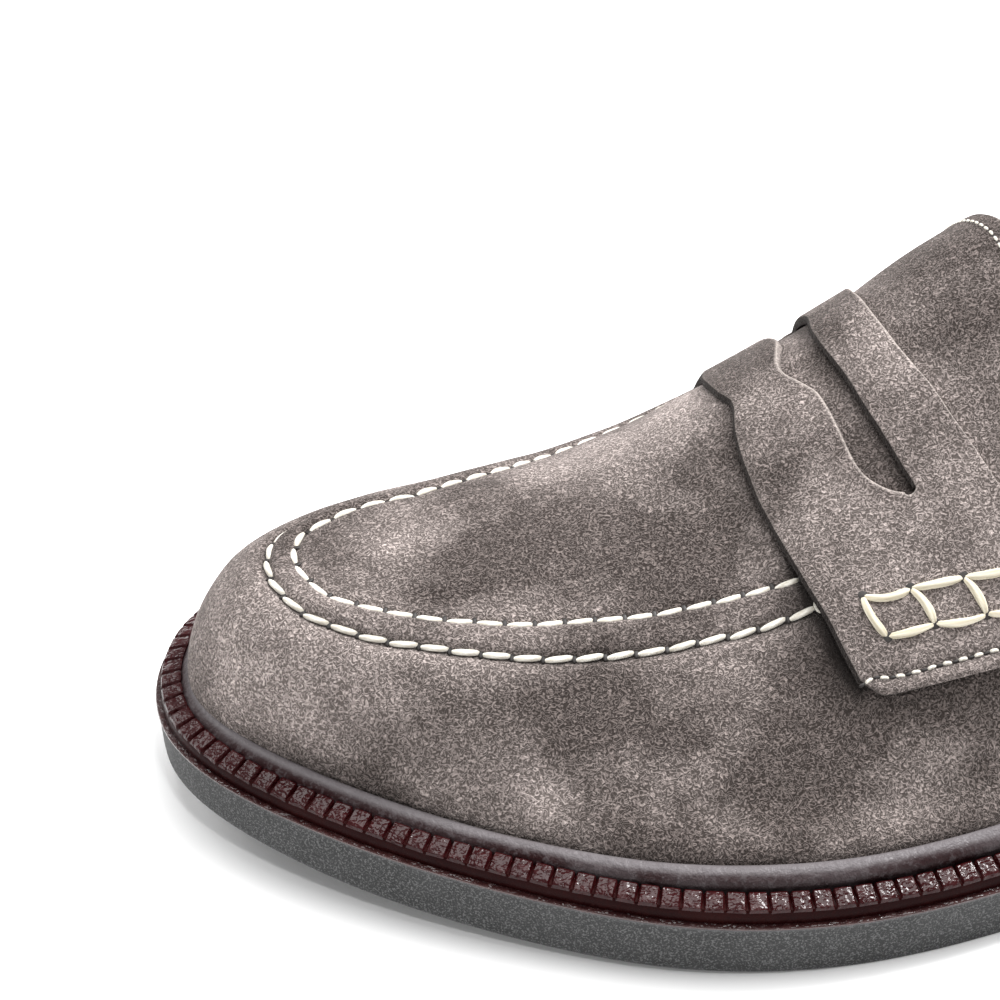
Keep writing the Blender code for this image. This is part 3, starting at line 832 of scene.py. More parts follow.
def mount(piece: Object, slot: str, *nodes: str) -> Object:
    """Give a finished piece to the frame.

    Args:
        piece: The finished piece.
        slot: Material slot of the record that it takes its finish from; not used.
        nodes: Frame nodes that it stands for.

    Returns:
        The same piece.
    """
    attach(piece, "root")
    if nodes:
        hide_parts(*nodes)
    LOG.info("%s: %d faces", piece.name, len(piece.data.polygons))
    return piece


class Nodes:
    """Short hand for one node tree."""

    def __init__(self, tree: Tree) -> None:
        """Keep the tree."""
        self.tree = tree

    def add(self, kind: str, inputs: Values | None = None, **settings: object) -> Node:
        """Add a node.

        Args:
            kind: Blender's name of the node.
            inputs: Values or output sockets for its inputs, by name or number.
            settings: Properties of the node.

        Returns:
            The node.
        """
        node = self.tree.nodes.new(kind)
        for name, value in settings.items():
            setattr(node, name, value)
        self.feed(node, inputs or {})
        return node

    def feed(self, node: Node, inputs: Values) -> None:
        """Set or link inputs of a node.

        Args:
            node: The node.
            inputs: Values or output sockets, by name or number.
        """
        for name, value in inputs.items():
            if isinstance(value, Socket):
                self.tree.links.new(value, node.inputs[name])
            else:
                node.inputs[name].default_value = value

    def math(self, operation: str, a: object, b: object = 0.0, clamp: bool = False) -> Socket:
        """Output of a Math node."""
        return self.add("ShaderNodeMath", {0: a, 1: b}, operation=operation, use_clamp=clamp).outputs[0]

    def times(self, value: Socket, factor: float) -> Socket:
        """A value times a factor."""
        return self.math("MULTIPLY", value, factor)

    def mix(self, share: object, a: object, b: object) -> Socket:
        """Output of a colour Mix node."""
        return self.add("ShaderNodeMix", {0: share, 6: a, 7: b}, data_type="RGBA").outputs[2]

    def ramp(self, value: Socket, start: float, end: float, low: float = 0.0, high: float = 1.0) -> Socket:
        """Output of a smooth Map Range node."""
        inputs = {"Value": value, "From Min": start, "From Max": end, "To Min": low, "To Max": high}
        return self.add("ShaderNodeMapRange", inputs, interpolation_type="SMOOTHSTEP").outputs[0]

    def noise(
        self, at: Socket, scale: object, detail: float, rough: float = 0.5, warp: float = 0.0
    ) -> Socket:
        """Value of a Noise Texture node."""
        inputs = {"Vector": at, "Scale": scale, "Detail": detail, "Roughness": rough, "Distortion": warp}
        return self.add("ShaderNodeTexNoise", inputs).outputs[0]

    def mark(self, name: str) -> Socket:
        """Value of a point mark of the piece."""
        return self.add("ShaderNodeAttribute", attribute_name=name).outputs["Fac"]

    def here(self) -> Socket:
        """Object coordinates."""
        return self.add("ShaderNodeTexCoord").outputs["Object"]

    def effect(self, tree: Tree, scale: float) -> bpy.types.NodeOutputs:
        """Outputs of a shared group at a scale."""
        return self.add("ShaderNodeGroup", {"Vector": self.here(), "Scale": scale}, node_tree=tree).outputs

    def bump(self, height: Socket, strength: float, distance: float) -> Socket:
        """Output of a Bump node."""
        inputs = {"Strength": strength, "Distance": distance, "Height": height}
        return self.add("ShaderNodeBump", inputs).outputs[0]


def new_group(name: str, kind: str, inputs: dict[str, str], outputs: dict[str, str]) -> Nodes:
    """Start a node group.

    Args:
        name: Name of the group.
        kind: Blender's name of the tree.
        inputs: Socket kind for each input name.
        outputs: Socket kind for each output name.

    Returns:
        Short hand for the group's tree.
    """
    tree = bpy.data.node_groups.new(name, kind)
    for way, sockets in (("INPUT", inputs), ("OUTPUT", outputs)):
        for label, socket in sockets.items():
            tree.interface.new_socket(name=label, in_out=way, socket_type="NodeSocket" + socket)
    return Nodes(tree)


class Effects:
    """Shader node groups that several finishes share."""

    def __init__(self) -> None:
        """Build the groups."""
        self.nap = self._nap()
        self.clouds = self._clouds()
        self.pores = self._pores()

    @staticmethod
    def _start(name: str, *outputs: str) -> tuple[Nodes, Socket, Socket]:
        """Start a group.

        Args:
            name: Name of the group.
            outputs: Names of the values that it puts out.

        Returns:
            Short hand for the group, its coordinates and its scale.
        """
        inputs = {"Vector": "Vector", "Scale": "Float"}
        made = new_group(name, "ShaderNodeTree", inputs, dict.fromkeys(outputs, "Float"))
        into = made.add("NodeGroupInput").outputs
        return made, into["Vector"], into["Scale"]

    def _nap(self) -> Tree:
        """Short curled fibres: a mask of light fibres and a height for bumps."""
        made, at, scale = self._start("short_nap", "Fibre", "Height")
        swirl = made.noise(at, scale, detail=0.0, warp=0.5)
        saw = made.math("FRACT", made.times(swirl, 4.0))
        line = made.ramp(made.math("ABSOLUTE", made.math("SUBTRACT", saw, 0.5)), 0.03, 0.30, 1.0, 0.0)
        tuft = made.ramp(made.noise(at, made.times(scale, 2.05), detail=0.0, warp=0.5), 0.46, 0.66)
        fibre = made.math("ADD", made.times(line, 0.62), made.times(tuft, 0.38))
        grain = made.noise(at, made.times(scale, 2.4), detail=1.0, rough=0.6)
        height = made.math("ADD", fibre, made.times(grain, 0.5))
        made.add("NodeGroupOutput", {"Fibre": fibre, "Height": height})
        return made.tree

    def _clouds(self) -> Tree:
        """Large and small soft clouds, as in brushed nap."""
        made, at, scale = self._start("soft_clouds", "Cloud")
        wide = made.noise(at, scale, detail=3.0, rough=0.55, warp=0.5)
        small = made.noise(at, made.times(scale, 3.7), detail=3.0, rough=0.6, warp=0.3)
        both = made.math("ADD", made.times(wide, 0.62), made.times(small, 0.38))
        made.add("NodeGroupOutput", {"Cloud": made.ramp(both, 0.34, 0.66)})
        return made.tree

    def _pores(self) -> Tree:
        """Fine specks and shallow scratches for rubber, dressed edges and smooth leather."""
        made, at, scale = self._start("fine_pores", "Speck", "Height", "Wear")
        grain = made.noise(at, scale, detail=2.0, rough=0.65)
        coarse = made.noise(at, made.times(scale, 0.31), detail=2.0, rough=0.6)
        wear = made.ramp(made.noise(at, made.times(scale, 0.07), detail=3.0), 0.4, 0.7)
        height = made.math("ADD", grain, made.times(coarse, 0.8))
        made.add("NodeGroupOutput", {"Speck": made.ramp(grain, 0.48, 0.66), "Height": height, "Wear": wear})
        return made.tree


def rgba(colour: Colour, share: float = 1.0) -> tuple[float, ...]:
    """A colour made lighter or darker by a share, with full alpha."""
    return (*(part * share for part in colour), 1.0)


@dataclass(frozen=True)
class Finish:
    """What every finish has: a name, and the values of the shader's sockets."""

    name: str

    def sockets(self, nodes: Nodes, effects: Effects) -> Values:
        """Settings of the shader, which each kind of finish gives.

        Args:
            nodes: Short hand for the material's tree.
            effects: Shared shader groups.

        Returns:
            Values or outputs for the shader's sockets.
        """
        raise NotImplementedError

    def material(self, effects: Effects) -> Material:
        """Build the finish.

        Args:
            effects: Shared shader groups.

        Returns:
            The material.
        """
        material = bpy.data.materials.new(self.name)
        material.use_nodes = True
        nodes = Nodes(material.node_tree)
        nodes.feed(material.node_tree.nodes["Principled BSDF"], self.sockets(nodes, effects))
        return material


@dataclass(frozen=True)
class Suede(Finish):
    """Brushed suede with a short nap, cloudy, with painted light and shade; cut edges paler, most where
    lit.
    """

    deep: Colour = (0.032, 0.0256, 0.0230)
    ground: Colour = (0.155, 0.131, 0.121)
    dull: Colour = (0.208, 0.172, 0.160)
    bright: Colour = (0.70, 0.600, 0.568)
    raw: Colour = (0.60, 0.53, 0.49)
    fineness: float = 1230.0
    cloud_scale: float = 30.0
    cloud_share: float = 0.70
    shade_mark_share: float = 0.62
    middle: float = 0.47
    raw_share: float = 0.85
    shadow_share: float = 0.4
    sheen: float = 0.12

    def sockets(self, nodes: Nodes, effects: Effects) -> Values:
        """Fibres over dark hollows, in clouds, with the piece's painted light and shade, cut edges and
        painted shadows.
        """
        nap = nodes.effect(effects.nap, self.fineness)
        cloud = nodes.effect(effects.clouds, self.cloud_scale)["Cloud"]
        cloud = nodes.times(nodes.math("SUBTRACT", cloud, 0.5), self.cloud_share)
        # The shade mark holds mottling of the nap together with painted light and shade.
        painted_shading = nodes.times(nodes.mark("shade"), self.shade_mark_share)
        tone = nodes.math("ADD", nodes.math("ADD", cloud, painted_shading), self.middle, clamp=True)
        hollow = nodes.mix(tone, rgba(self.deep), rgba(self.ground))
        tip = nodes.mix(tone, rgba(self.dull), rgba(self.bright))
        brushed = nodes.mix(nap["Fibre"], hollow, tip)
        edge = nodes.mix(nodes.times(nodes.mark("raw"), self.raw_share), brushed, rgba(self.raw))
        return {
            # Painted shadow from the piece's shadow mark darkens the colour towards the deepest brown.
            "Base Color": nodes.mix(nodes.mark("dip"), edge, rgba(self.deep, self.shadow_share)),
            "Roughness": 0.95,
            "Specular IOR Level": 0.12,
            "Sheen Weight": self.sheen,
            "Sheen Roughness": 0.45,
            "Sheen Tint": rgba((0.88, 0.80, 0.76)),
            "Normal": nodes.bump(nap["Height"], 0.9, 0.00032),
        }


@dataclass(frozen=True)
class DressedEdge(Finish):
    """Dyed leather or welting, dressed and polished, with fine scratches."""

    deep: Colour
    pale: Colour
    roughness: float
    coat: float
    gloss: float = 0.3
    pore_scale: float = 1500.0
    grain: float = 0.00008

    def sockets(self, nodes: Nodes, effects: Effects) -> Values:
        """Dye that pales with random wear and along the piece's mark, which paints a sheen on the bead's
        top, with a fine grain.
        """
        pores = nodes.effect(effects.pores, self.pore_scale)
        worn = nodes.math("ADD", nodes.times(pores["Wear"], 0.35), nodes.mark("worn"), clamp=True)
        base = nodes.mix(worn, rgba(self.deep), rgba(self.pale))
        smooth, rough = self.roughness - 0.08, self.roughness + 0.14
        return {
            "Base Color": nodes.mix(nodes.times(pores["Speck"], 0.25), base, rgba(self.pale)),
            "Roughness": nodes.ramp(pores["Height"], 0.4, 1.3, smooth, rough),
            "Coat Weight": self.coat,
            "Coat Roughness": 0.18,
            "Specular IOR Level": self.gloss,
            "Normal": nodes.bump(pores["Height"], 0.6, self.grain),
        }


@dataclass(frozen=True)
class Rubber(Finish):
    """Matte grey rubber with pale specks and a paler trimmed rim, partly painted highlight where the edge
    catches light.
    """

    base: Colour = (0.027, 0.0274, 0.0278)
    speck: Colour = (0.20, 0.20, 0.20)
    rim: Colour = (0.17, 0.17, 0.175)

    def sockets(self, nodes: Nodes, effects: Effects) -> Values:
        """Cloudy grey with specks, and the rim's mark over it, partly a painted highlight."""
        pores = nodes.effect(effects.pores, 3300.0)
        cloud = nodes.effect(effects.clouds, 60.0)["Cloud"]
        ground = nodes.mix(cloud, rgba(self.base, 0.82), rgba(self.base, 1.22))
        dotted = nodes.mix(nodes.times(pores["Speck"], 0.55), ground, rgba(self.speck))
        return {
            "Base Color": nodes.mix(nodes.times(nodes.mark("rim"), 0.7), dotted, rgba(self.rim)),
            "Roughness": 0.72,
            "Specular IOR Level": 0.35,
            "Normal": nodes.bump(pores["Height"], 0.5, 0.00012),
        }


@dataclass(frozen=True)
class Thread(Finish):
    """Waxed thread of several plies."""

    base: Colour = (0.80, 0.77, 0.70)
    hollow: Colour = (0.42, 0.37, 0.285)

    def sockets(self, nodes: Nodes, effects: Effects) -> Values:
        """Plies from the piece's own mark, with painted shade in the grooves between them."""
        pores = nodes.effect(effects.pores, 1500.0)
        strand = nodes.times(nodes.ramp(nodes.mark("ply"), 0.0, 1.0), 0.6)
        grain = nodes.math("ADD", strand, nodes.times(pores["Wear"], 0.22), clamp=True)
        return {
            "Base Color": nodes.mix(grain, rgba(self.base), rgba(self.hollow)),
            "Roughness": 0.62,
            "Sheen Weight": 0.15,
            "Normal": nodes.bump(pores["Height"], 0.5, 0.0001),
        }


@dataclass(frozen=True)
class SmoothLeather(Finish):
    """Plain tanned leather for the lining and the sock, and near black for the painted shadow in needle
    holes.
    """

    base: Colour
    worn: Colour

    def sockets(self, nodes: Nodes, effects: Effects) -> Values:
        """Soft clouds with dark pores, smoother where the leather is worn."""
        pores = nodes.effect(effects.pores, 1100.0)
        cloud = nodes.effect(effects.clouds, 26.0)["Cloud"]
        base = nodes.mix(cloud, rgba(self.base), rgba(self.worn))
        return {
            "Base Color": nodes.mix(nodes.times(pores["Speck"], 0.3), base, rgba(self.base, 0.6)),
            "Roughness": nodes.ramp(cloud, 0.0, 1.0, 0.62, 0.48),
            "Normal": nodes.bump(pores["Height"], 0.4, 0.00015),
        }


@dataclass(frozen=True)
class PaleFloor(Finish):
    """Matte white paper under the shoe."""

    glow: float = 0.09

    def sockets(self, nodes: Nodes, effects: Effects) -> Values:
        """Nearly even white, faintly lit of its own."""
        tone = nodes.noise(nodes.here(), 3.0, detail=2.0)
        return {
            "Base Color": nodes.mix(tone, rgba((0.89, 0.89, 0.89)), rgba((0.91, 0.91, 0.91))),
            "Roughness": 0.9,
            "Specular IOR Level": 0.1,
            "Emission Color": (1.0, 1.0, 1.0, 1.0),
            "Emission Strength": self.glow,
        }


@dataclass
class Path:
    """A line on the shoe, with the surface's outward direction at each point, in millimetres."""

    points: Array
    ups: Array

    def length(self) -> float:
        """Length of the line."""
        return float(lengths(self.points)[-1])

    def part(self, start: float, end: float, step: float = 0.6) -> Path:
        """The stretch between two lengths, read again at even steps.

        Args:
            start: Length where it starts.
            end: Length where it ends.
            step: Distance between its points.

        Returns:
            The stretch.
        """
        along = lengths(self.points)
        at = np.linspace(start, end, max(2, int(round((end - start) / step)) + 1))
        return Path(resample(self.points, at), unit(resample(self.ups, at, along)))


class PathRepeater:
    """Geometry Nodes tree that sets one copy of a small shape at each step of a path."""

    INPUTS = {
        "Path": "Geometry",
        "Shape": "Object",
        "Finish": "Material",
        "Count": "Int",
        "Seed": "Int",
        **dict.fromkeys(("Length", "Width", "Height", "Lift", "Slant", "Waver"), "Float"),
    }
    SEED = 3

    def __init__(self, last: Last) -> None:
        """Build the tree.

        Args:
            last: The last, which knows where the frame is.
        """
        self.last = last
        made = new_group("repeat_on_path", "GeometryNodeTree", self.INPUTS, {"Geometry": "Geometry"})
        into = made.add("NodeGroupInput").outputs

        def first(kind: str, inputs: Values, **settings: object) -> Socket:
            """First output of a new node."""
            return made.add(kind, inputs, **settings).outputs[0]

        curve = first("GeometryNodeMeshToCurve", {0: into["Path"]})
        strung = {"Curve": curve, "Count": into["Count"]}
        steps = made.add("GeometryNodeCurveToPoints", strung, mode="COUNT")
        up = first("GeometryNodeInputNamedAttribute", {"Name": "surface_up"}, data_type="FLOAT_VECTOR")
        rise = first("ShaderNodeVectorMath", {0: up, "Scale": into["Lift"]}, operation="SCALE")
        moved = first("GeometryNodeSetPosition", {"Geometry": steps.outputs["Points"], "Offset": rise})
        align = "FunctionNodeAlignRotationToVector"
        along = first(align, {"Vector": steps.outputs["Tangent"]}, axis="X")
        upright = first(align, {"Rotation": along, "Vector": up}, axis="Z", pivot_axis="X")
        swing = {2: made.times(into["Waver"], -1.0), 3: into["Waver"], "Seed": into["Seed"]}
        sway = made.add("FunctionNodeRandomValue", swing, data_type="FLOAT").outputs[1]
        turn = first("ShaderNodeCombineXYZ", {2: made.math("ADD", into["Slant"], sway)})
        by = first("FunctionNodeEulerToRotation", {0: turn})
        swung = {"Rotation": upright, "Rotate By": by}
        turned = first("FunctionNodeRotateRotation", swung, rotation_space="LOCAL")
        shape = made.add("GeometryNodeObjectInfo", {"Object": into["Shape"]}, transform_space="ORIGINAL")
        size = first("ShaderNodeCombineXYZ", {0: into["Length"], 1: into["Width"], 2: into["Height"]})
        sized = first("GeometryNodeTransform", {"Geometry": shape.outputs["Geometry"], "Scale": size})
        laid = {"Points": moved, "Instance": sized, "Rotation": turned}
        real = first("GeometryNodeRealizeInstances", {0: first("GeometryNodeInstanceOnPoints", laid)})
        dressed = first("GeometryNodeSetMaterial", {0: real, "Material": into["Finish"]})
        made.add("NodeGroupOutput", {0: dressed})
        self.tree = made.tree
        sockets = made.tree.interface.items_tree
        self.keys = {socket.name: socket.identifier for socket in sockets if socket.in_out == "INPUT"}

    def lay(
        self, name: str, path: Path, shape: Object, finish: Material, crisp: float = 180.0, **sizes: float
    ) -> Object:
        """Repeat a shape along a path.

        Args:
            name: Name of the piece.
            path: Line to follow, in millimetres.
            shape: Small shape of unit size, along X with Z up.
            finish: Material of the piece.
            crisp: Angle in degrees past which an edge is shaded sharp.
            sizes: Values for the tree's named inputs.

        Returns:
            The piece, as a plain mesh.
        """
        mesh = bpy.data.meshes.new(name)
        points = self.last.to_frame(path.points)
        mesh.from_pydata(points.tolist(), [(i, i + 1) for i in range(len(points) - 1)], [])
        layer = mesh.attributes.new("surface_up", "FLOAT_VECTOR", "POINT")
        layer.data.foreach_set("vector", path.ups.astype(np.float32).ravel())
        piece = place(name, mesh)
        modifier = piece.modifiers.new("repeat", "NODES")
        modifier.node_group = self.tree
        for label, value in {"Shape": shape, "Finish": finish, "Seed": self.SEED, **sizes}.items():
            modifier[self.keys[label]] = value
        graph = bpy.context.evaluated_depsgraph_get()
        plain = bpy.data.meshes.new_from_object(piece.evaluated_get(graph), depsgraph=graph)
        piece.modifiers.clear()
        piece.data = plain
        plain.name = name
        plain.shade_smooth()
        plain.set_sharp_from_angle(angle=math.radians(crisp))
        if not plain.materials:
            plain.materials.append(finish)
        return piece


def unit_shape(name: str, rings: Sequence[Array], plies: Sequence[Array] | None = None) -> Object:
    """Small closed shape from rings of points, kept only while copies are laid.

    Args:
        name: Name of the shape.
        rings: Closed rings from one end to the other.
        plies: Values of the ply mark, one row for each ring.

    Returns:
        The object.
    """
    grid = np.array(rings)
    count, around = grid.shape[:2]
    points = np.concatenate([grid.reshape(-1, 3), [grid[0].mean(axis=0), grid[-1].mean(axis=0)]])
    faces = []
    for i in range(around):
        n = (i + 1) % around
        for j in range(0, (count - 1) * around, around):
            faces.append((j + i, j + n, j + around + n, j + around + i))
        faces.append((len(points) - 2, n, i))
        faces.append((len(points) - 1, (count - 1) * around + i, (count - 1) * around + n))
    mesh = bpy.data.meshes.new(name)
    mesh.from_pydata(points.tolist(), [], faces)
    layer = mesh.attributes.new("ply", "FLOAT", "POINT")
    values = np.zeros(count * around) if plies is None else np.array(plies).ravel()
    layer.data.foreach_set("value", np.append(values, [0.5, 0.5]).astype(np.float32))
    return place(name, mesh)


def stitch_shape(name: str, rings: int = 11, segments: int = 10, plies: int = 3) -> Object:
    """One stitch of unit length and width: a slim leaf with its ends turned down and plies twisted in.

    Args:
        name: Name of the shape.
        rings: Count of rings along it.
        segments: Points round a ring.
        plies: Count of plies.

    Returns:
        The object.
    """
    turn = turns(segments)
    shapes, marks = [], []
    for x in np.sin(np.linspace(-math.pi / 2, math.pi / 2, rings + 2)[1:-1]):
        thick = (1 - abs(x) ** 2.7) ** 0.62 * (1 - 0.1 * x)
        sink = -0.30 * abs(x) ** 3
        side = 0.13 * (1 - x * x)
        twist = 0.5 + 0.5 * np.cos(plies * turn + 5.0 * x)
        radius = 0.5 * thick * (0.92 + 0.08 * (1 - twist))
        across = radius * np.cos(turn) + side
        shapes.append(np.column_stack([np.full(segments, x / 2), across, radius * np.sin(turn) + sink]))
        marks.append(twist)
    return unit_shape(name, shapes, marks)


def hole_shape(name: str, rings: int = 4, segments: int = 8) -> Object:
    """Flat dark lens of painted shadow in the needle hole between two stitches.

    Args:
        name: Name of the shape.
        rings: Count of rings up it.
        segments: Points round a ring.

    Returns:
        The object.
    """
    turn = turns(segments)
    shapes = []
    for tilt in np.linspace(-math.pi / 2, math.pi / 2, rings + 2)[1:-1]:
        across = 0.5 * math.cos(tilt)
        ring = [across * np.cos(turn), across * np.sin(turn), np.full(segments, 0.5 * math.sin(tilt))]
        shapes.append(np.column_stack(ring))
    return unit_shape(name, shapes)


def block_shape(name: str) -> Object:
    """One wheeled block of the welt: unit length, millimetres across, sloping to the edge of the welt.

    Args:
        name: Name of the shape.

    Returns:
        The object.
    """
    shapes = []
    for x, drop in BLOCK_ENDS:
        height = BLOCK_SECTION[:, 1] - drop * np.clip((BLOCK_SECTION[:, 1] + 1.1) / 0.9, 0.0, 1.0)
        across = BLOCK_SECTION[:, 0] * (1 - 0.05 * drop)
        shapes.append(np.column_stack([np.full(len(across), x), across, height]))
    return unit_shape(name, shapes)


@dataclass
class Upper:
    """Vamp, apron and quarters as one shell over the last, with its lining.

    Attributes:
        last: Form that it is drawn over.
        wall: Thickness of the suede.
        lining: Thickness of the lining.
        lining_gap: Clearance between them.
        lining_drop: How far below the top edge the lining ends.
        rim_drop: How far in the suede is rounded at the top edge.
        rim_rise: How far up its rounded edge stands there.
        band: How far the folded band between the stitch rows stands up.
        full_swell: Height up to which it swells fully over the welt.
    """

    last: Last
    wall: float = 1.3
    lining: float = 0.6
    lining_gap: float = 0.08
    lining_drop: float = 1.2
    lining_levels: int = 26
    rim_drop: float = 0.25
    rim_rise: float = 0.18
    open_ribs: int = 150
    closed_ribs: int = 150
    pole_ribs: int = 9
    levels: int = 84
    crowding: float = 1.6
    band: float = 0.75
    outer_dip: float = 0.75
    inner_dip: float = 0.45
    seam_from: float = 46.0
    seam_full: float = 55.0
    full_swell: float = 4.5
    collar_from: float = 31.0

    def __post_init__(self) -> None:
        """Read the tables."""
        self.row_outer, self.row_inner = curves(SEAM)
        self.foot_swell, self.foot_fade = curves(FOOT)
        self.strap_front = curves(STRAP)[0]
        self.slot_rear = curves(SLOT)[1]

    def foot(self, around: Array, up: Array) -> Array:
        """How far the upper swells out over the welt."""
        height = self.last.point(around, up)[:, 2] - self.last.point(around, np.zeros(len(up)))[:, 2]
        return self.foot_swell(around) * smooth_step(self.foot_fade(around), self.full_swell, height)

    def seam_weight(self, around: Array) -> Array:
        """How much of the apron seam shows: none behind the saddle."""
        return smooth_step(self.seam_from, self.seam_full, self.last.top_x(around))

    def relief(self, around: Array, girth: Array) -> Array:
        """Height of the seam, creases and slight unevenness over the last.

        Args:
            around: Distances round the sole.
            girth: Girths from the spine.

        Returns:
            Heights in millimetres.
        """
        outer = self.row_outer(around)
        inner = self.row_inner(around)
        share = (girth - inner) / (outer - inner)
        seam = self.band * np.clip(1 - (2 * share - 1) ** 2, 0.0, 1.0) ** 0.7
        seam = seam - self.outer_dip * hump(girth, outer + 0.35, 0.85)
        seam = seam - self.inner_dip * hump(girth, inner - 0.1, 0.8) + 0.25 * hump(girth, outer + 3.4, 2.2)
        total = seam * self.seam_weight(around)
        for crease in CREASES:
            run = np.array([crease.end - crease.start, crease.end_girth - crease.start_girth])
            length = np.linalg.norm(run)
            ahead, aside = run / length
            along = (around - crease.start) * ahead + (girth - crease.start_girth) * aside
            across = (girth - crease.start_girth) * ahead - (around - crease.start) * aside
            ends = smooth_step(-4.0, 3.0, along) * smooth_step(length + 4.0, length - 3.0, along)
            trough = hump(across, 0.0, crease.width) - 0.6 * hump(across, 2.2 * crease.width, crease.width)
            total = total - crease.depth * trough * ends
        waves = np.sin(0.071 * around + 0.9) * np.sin(0.113 * girth + 0.4)
        return total + 0.10 * (waves + 0.6 * np.sin(0.163 * around - 0.19 * girth))

    def painted_shadows(self, around: Array, girth: Array) -> Array:
        """How deep places lie in the painted shadow of the seam, the strap and the slot.

        Args:
            around: Distances round the sole.
            girth: Girths from the spine.

        Returns:
            Shares of full painted shadow.
        """
        dip = hump(girth, self.row_outer(around) + 0.5, 0.6)
        dip = dip + 0.5 * hump(girth, self.row_inner(around) - 0.2, 0.45)
        x = self.last.top_x(around)
        ahead = x - self.strap_front(girth)
        wedge = hump(ahead, 0.0, 3.4) * smooth_step(24.0, 36.0, girth) * smooth_step(54.0, 48.0, girth)
        line = hump(ahead, 0.6, 0.9) * smooth_step(53.0, 50.0, girth)
        lip = hump(x - self.slot_rear(girth), 0.5, 1.2) * (girth < SLOT[-1].girth)
        under = (0.9 * wedge + 0.6 * line) * (around < self.last.tip) + 0.7 * lip
        return np.clip(0.55 * dip * self.seam_weight(around) + under, 0.0, 0.95)

    @staticmethod
    def shade(points: Array) -> Array:
        """Lighter and darker clouds: mottling of the nap, and painted light and shade.

        Args:
            points: Points of the last.

        Returns:
            Shades from -1 to 1.
        """
        total = np.zeros(points.shape[:-1])
        for patch in PATCHES:
            away = np.linalg.norm(points - np.array([patch.x, patch.y, patch.z]), axis=-1)
            total = total + patch.shade * hump(away, 0.0, patch.size)
        return np.clip(total, -1.0, 1.0)

    def painted_shading(self, around: Array, girth: Array) -> Array:
        """Painted shade: darker along the outer side of the vamp, near the strap, on the seam's band and on
        the apron.

        Args:
            around: Distances round the sole.
            girth: Girths from the spine.

        Returns:
            Shades to add.
        """
        x = self.last.top_x(around)
        below = girth - self.row_outer(around)
        above = girth - self.row_inner(around)
        side = smooth_step(1.0, 8.0, below) * smooth_step(345.0, 318.0, around)
        apron = smooth_step(0.0, -4.0, above) * smooth_step(64.0, 74.0, x)
        near = smooth_step(14.0, 2.0, x - self.strap_front(girth)) * smooth_step(22.0, 32.0, girth)
        strapped = near * smooth_step(50.0, 40.0, girth) * (around < self.last.tip)
        fold = smooth_step(0.0, 1.5, above) * smooth_step(1.5, 0.0, below) * self.seam_weight(around)
        return -0.6 * side - 0.3 * apron - 0.6 * strapped - 0.25 * fold

    def rib_layout(self) -> tuple[Array, Array, Array]:
        """Choose the ribs.

        Returns:
            Distances round the sole, the rib that shares each one's top or -1, and which ribs are open.
        """
        last = self.last
        outer, inner = (float(last.rib_from_spine(THROAT_X, side)) for side in Side)
        crowd = np.linspace(1.0, 0.0, self.open_ribs, endpoint=False) ** self.crowding
        closed = np.linspace(outer, last.tip, self.closed_ribs + 1)
        mirrored = last.rib_from_spine(last.top_x(closed[:-1])[::-1], Side.INNER)
        pole = np.linspace(last.tip, mirrored[0], self.pole_ribs + 2)[1:-1]
        home = inner + (last.total - inner) * crowd[:0:-1]
        around = np.concatenate([outer * (1 - crowd), closed, pole, mirrored, home])
        tip = self.open_ribs + self.closed_ribs
        start = tip + 1 + self.pole_ribs
        partner = np.full(len(around), -1)
        partner[tip + 1 : start] = tip
        partner[start : start + self.closed_ribs] = np.arange(tip - 1, self.open_ribs - 1, -1)
        is_open = np.ones(len(around), bool)
        is_open[self.open_ribs : start + self.closed_ribs] = False
        return around, partner, is_open

    def girth_grid(self, around: Array, is_open: Array, levels: int, drop: float) -> tuple[Array, Array]:
        """Spread levels over ribs, close together at the seam.

        Args:
            around: Distances round the sole.
            is_open: Which ribs end at the top edge.
            levels: Count of steps from the feather line to the top.
            drop: How far below the top edge to end.

        Returns:
            Girths and shares up, a row for each rib, from the feather line to the top.
        """
        ups, girths, heights = self.last.rib_girths(around)
        edge = self.last.edge_height(around) - drop
        inner = self.row_inner(around)
        outer = self.row_outer(around)
        share = np.linspace(0.0, 1.0, levels + 1)
        rows, shares = [], []
        for i, girth in enumerate(girths):
            top = np.interp(edge[i], heights[i], girth) if is_open[i] else 0.0
            even = girth[0] + (top - girth[0]) * share
            stops = (girth[0], outer[i] + 4.5, inner[i] - 2.5, top)
            packed = np.interp(share, (0.0, 0.34, 0.80, 1.0), stops)
            near = smooth_step(20.0, 4.0, top) if is_open[i] else 1.0
            rows.append(even * (1 - near) + packed * near)
            shares.append(np.interp(rows[-1], girth[::-1], ups[::-1]))
        return np.array(rows), np.array(shares)

    def shell(
        self,
        name: str,
        finish: Material,
        levels: int,
        outside: float,
        thick: float,
        drop: float,
        relief: bool,
    ) -> Object:
        """Draw one closed shell over the ribs.

        Args:
            name: Name of the piece.
            finish: Its material.
            levels: Steps up each rib.
            outside: Distance of its outer face from the last.
            thick: Its thickness.
            drop: How far below the top edge it ends.
            relief: Whether the seam and the creases are raised on it, with their painted shadows.

        Returns:
            The piece.
        """
        around, partner, is_open = self.rib_layout()
        girth, up = self.girth_grid(around, is_open, levels, drop)
        shape = girth.shape
        rounds, girth, up = np.repeat(around, levels + 1), girth.ravel(), up.ravel()
        swell = self.foot(rounds, up)
        rise = self.relief(rounds, girth) * relief
        dip = self.painted_shadows(rounds, girth) * relief
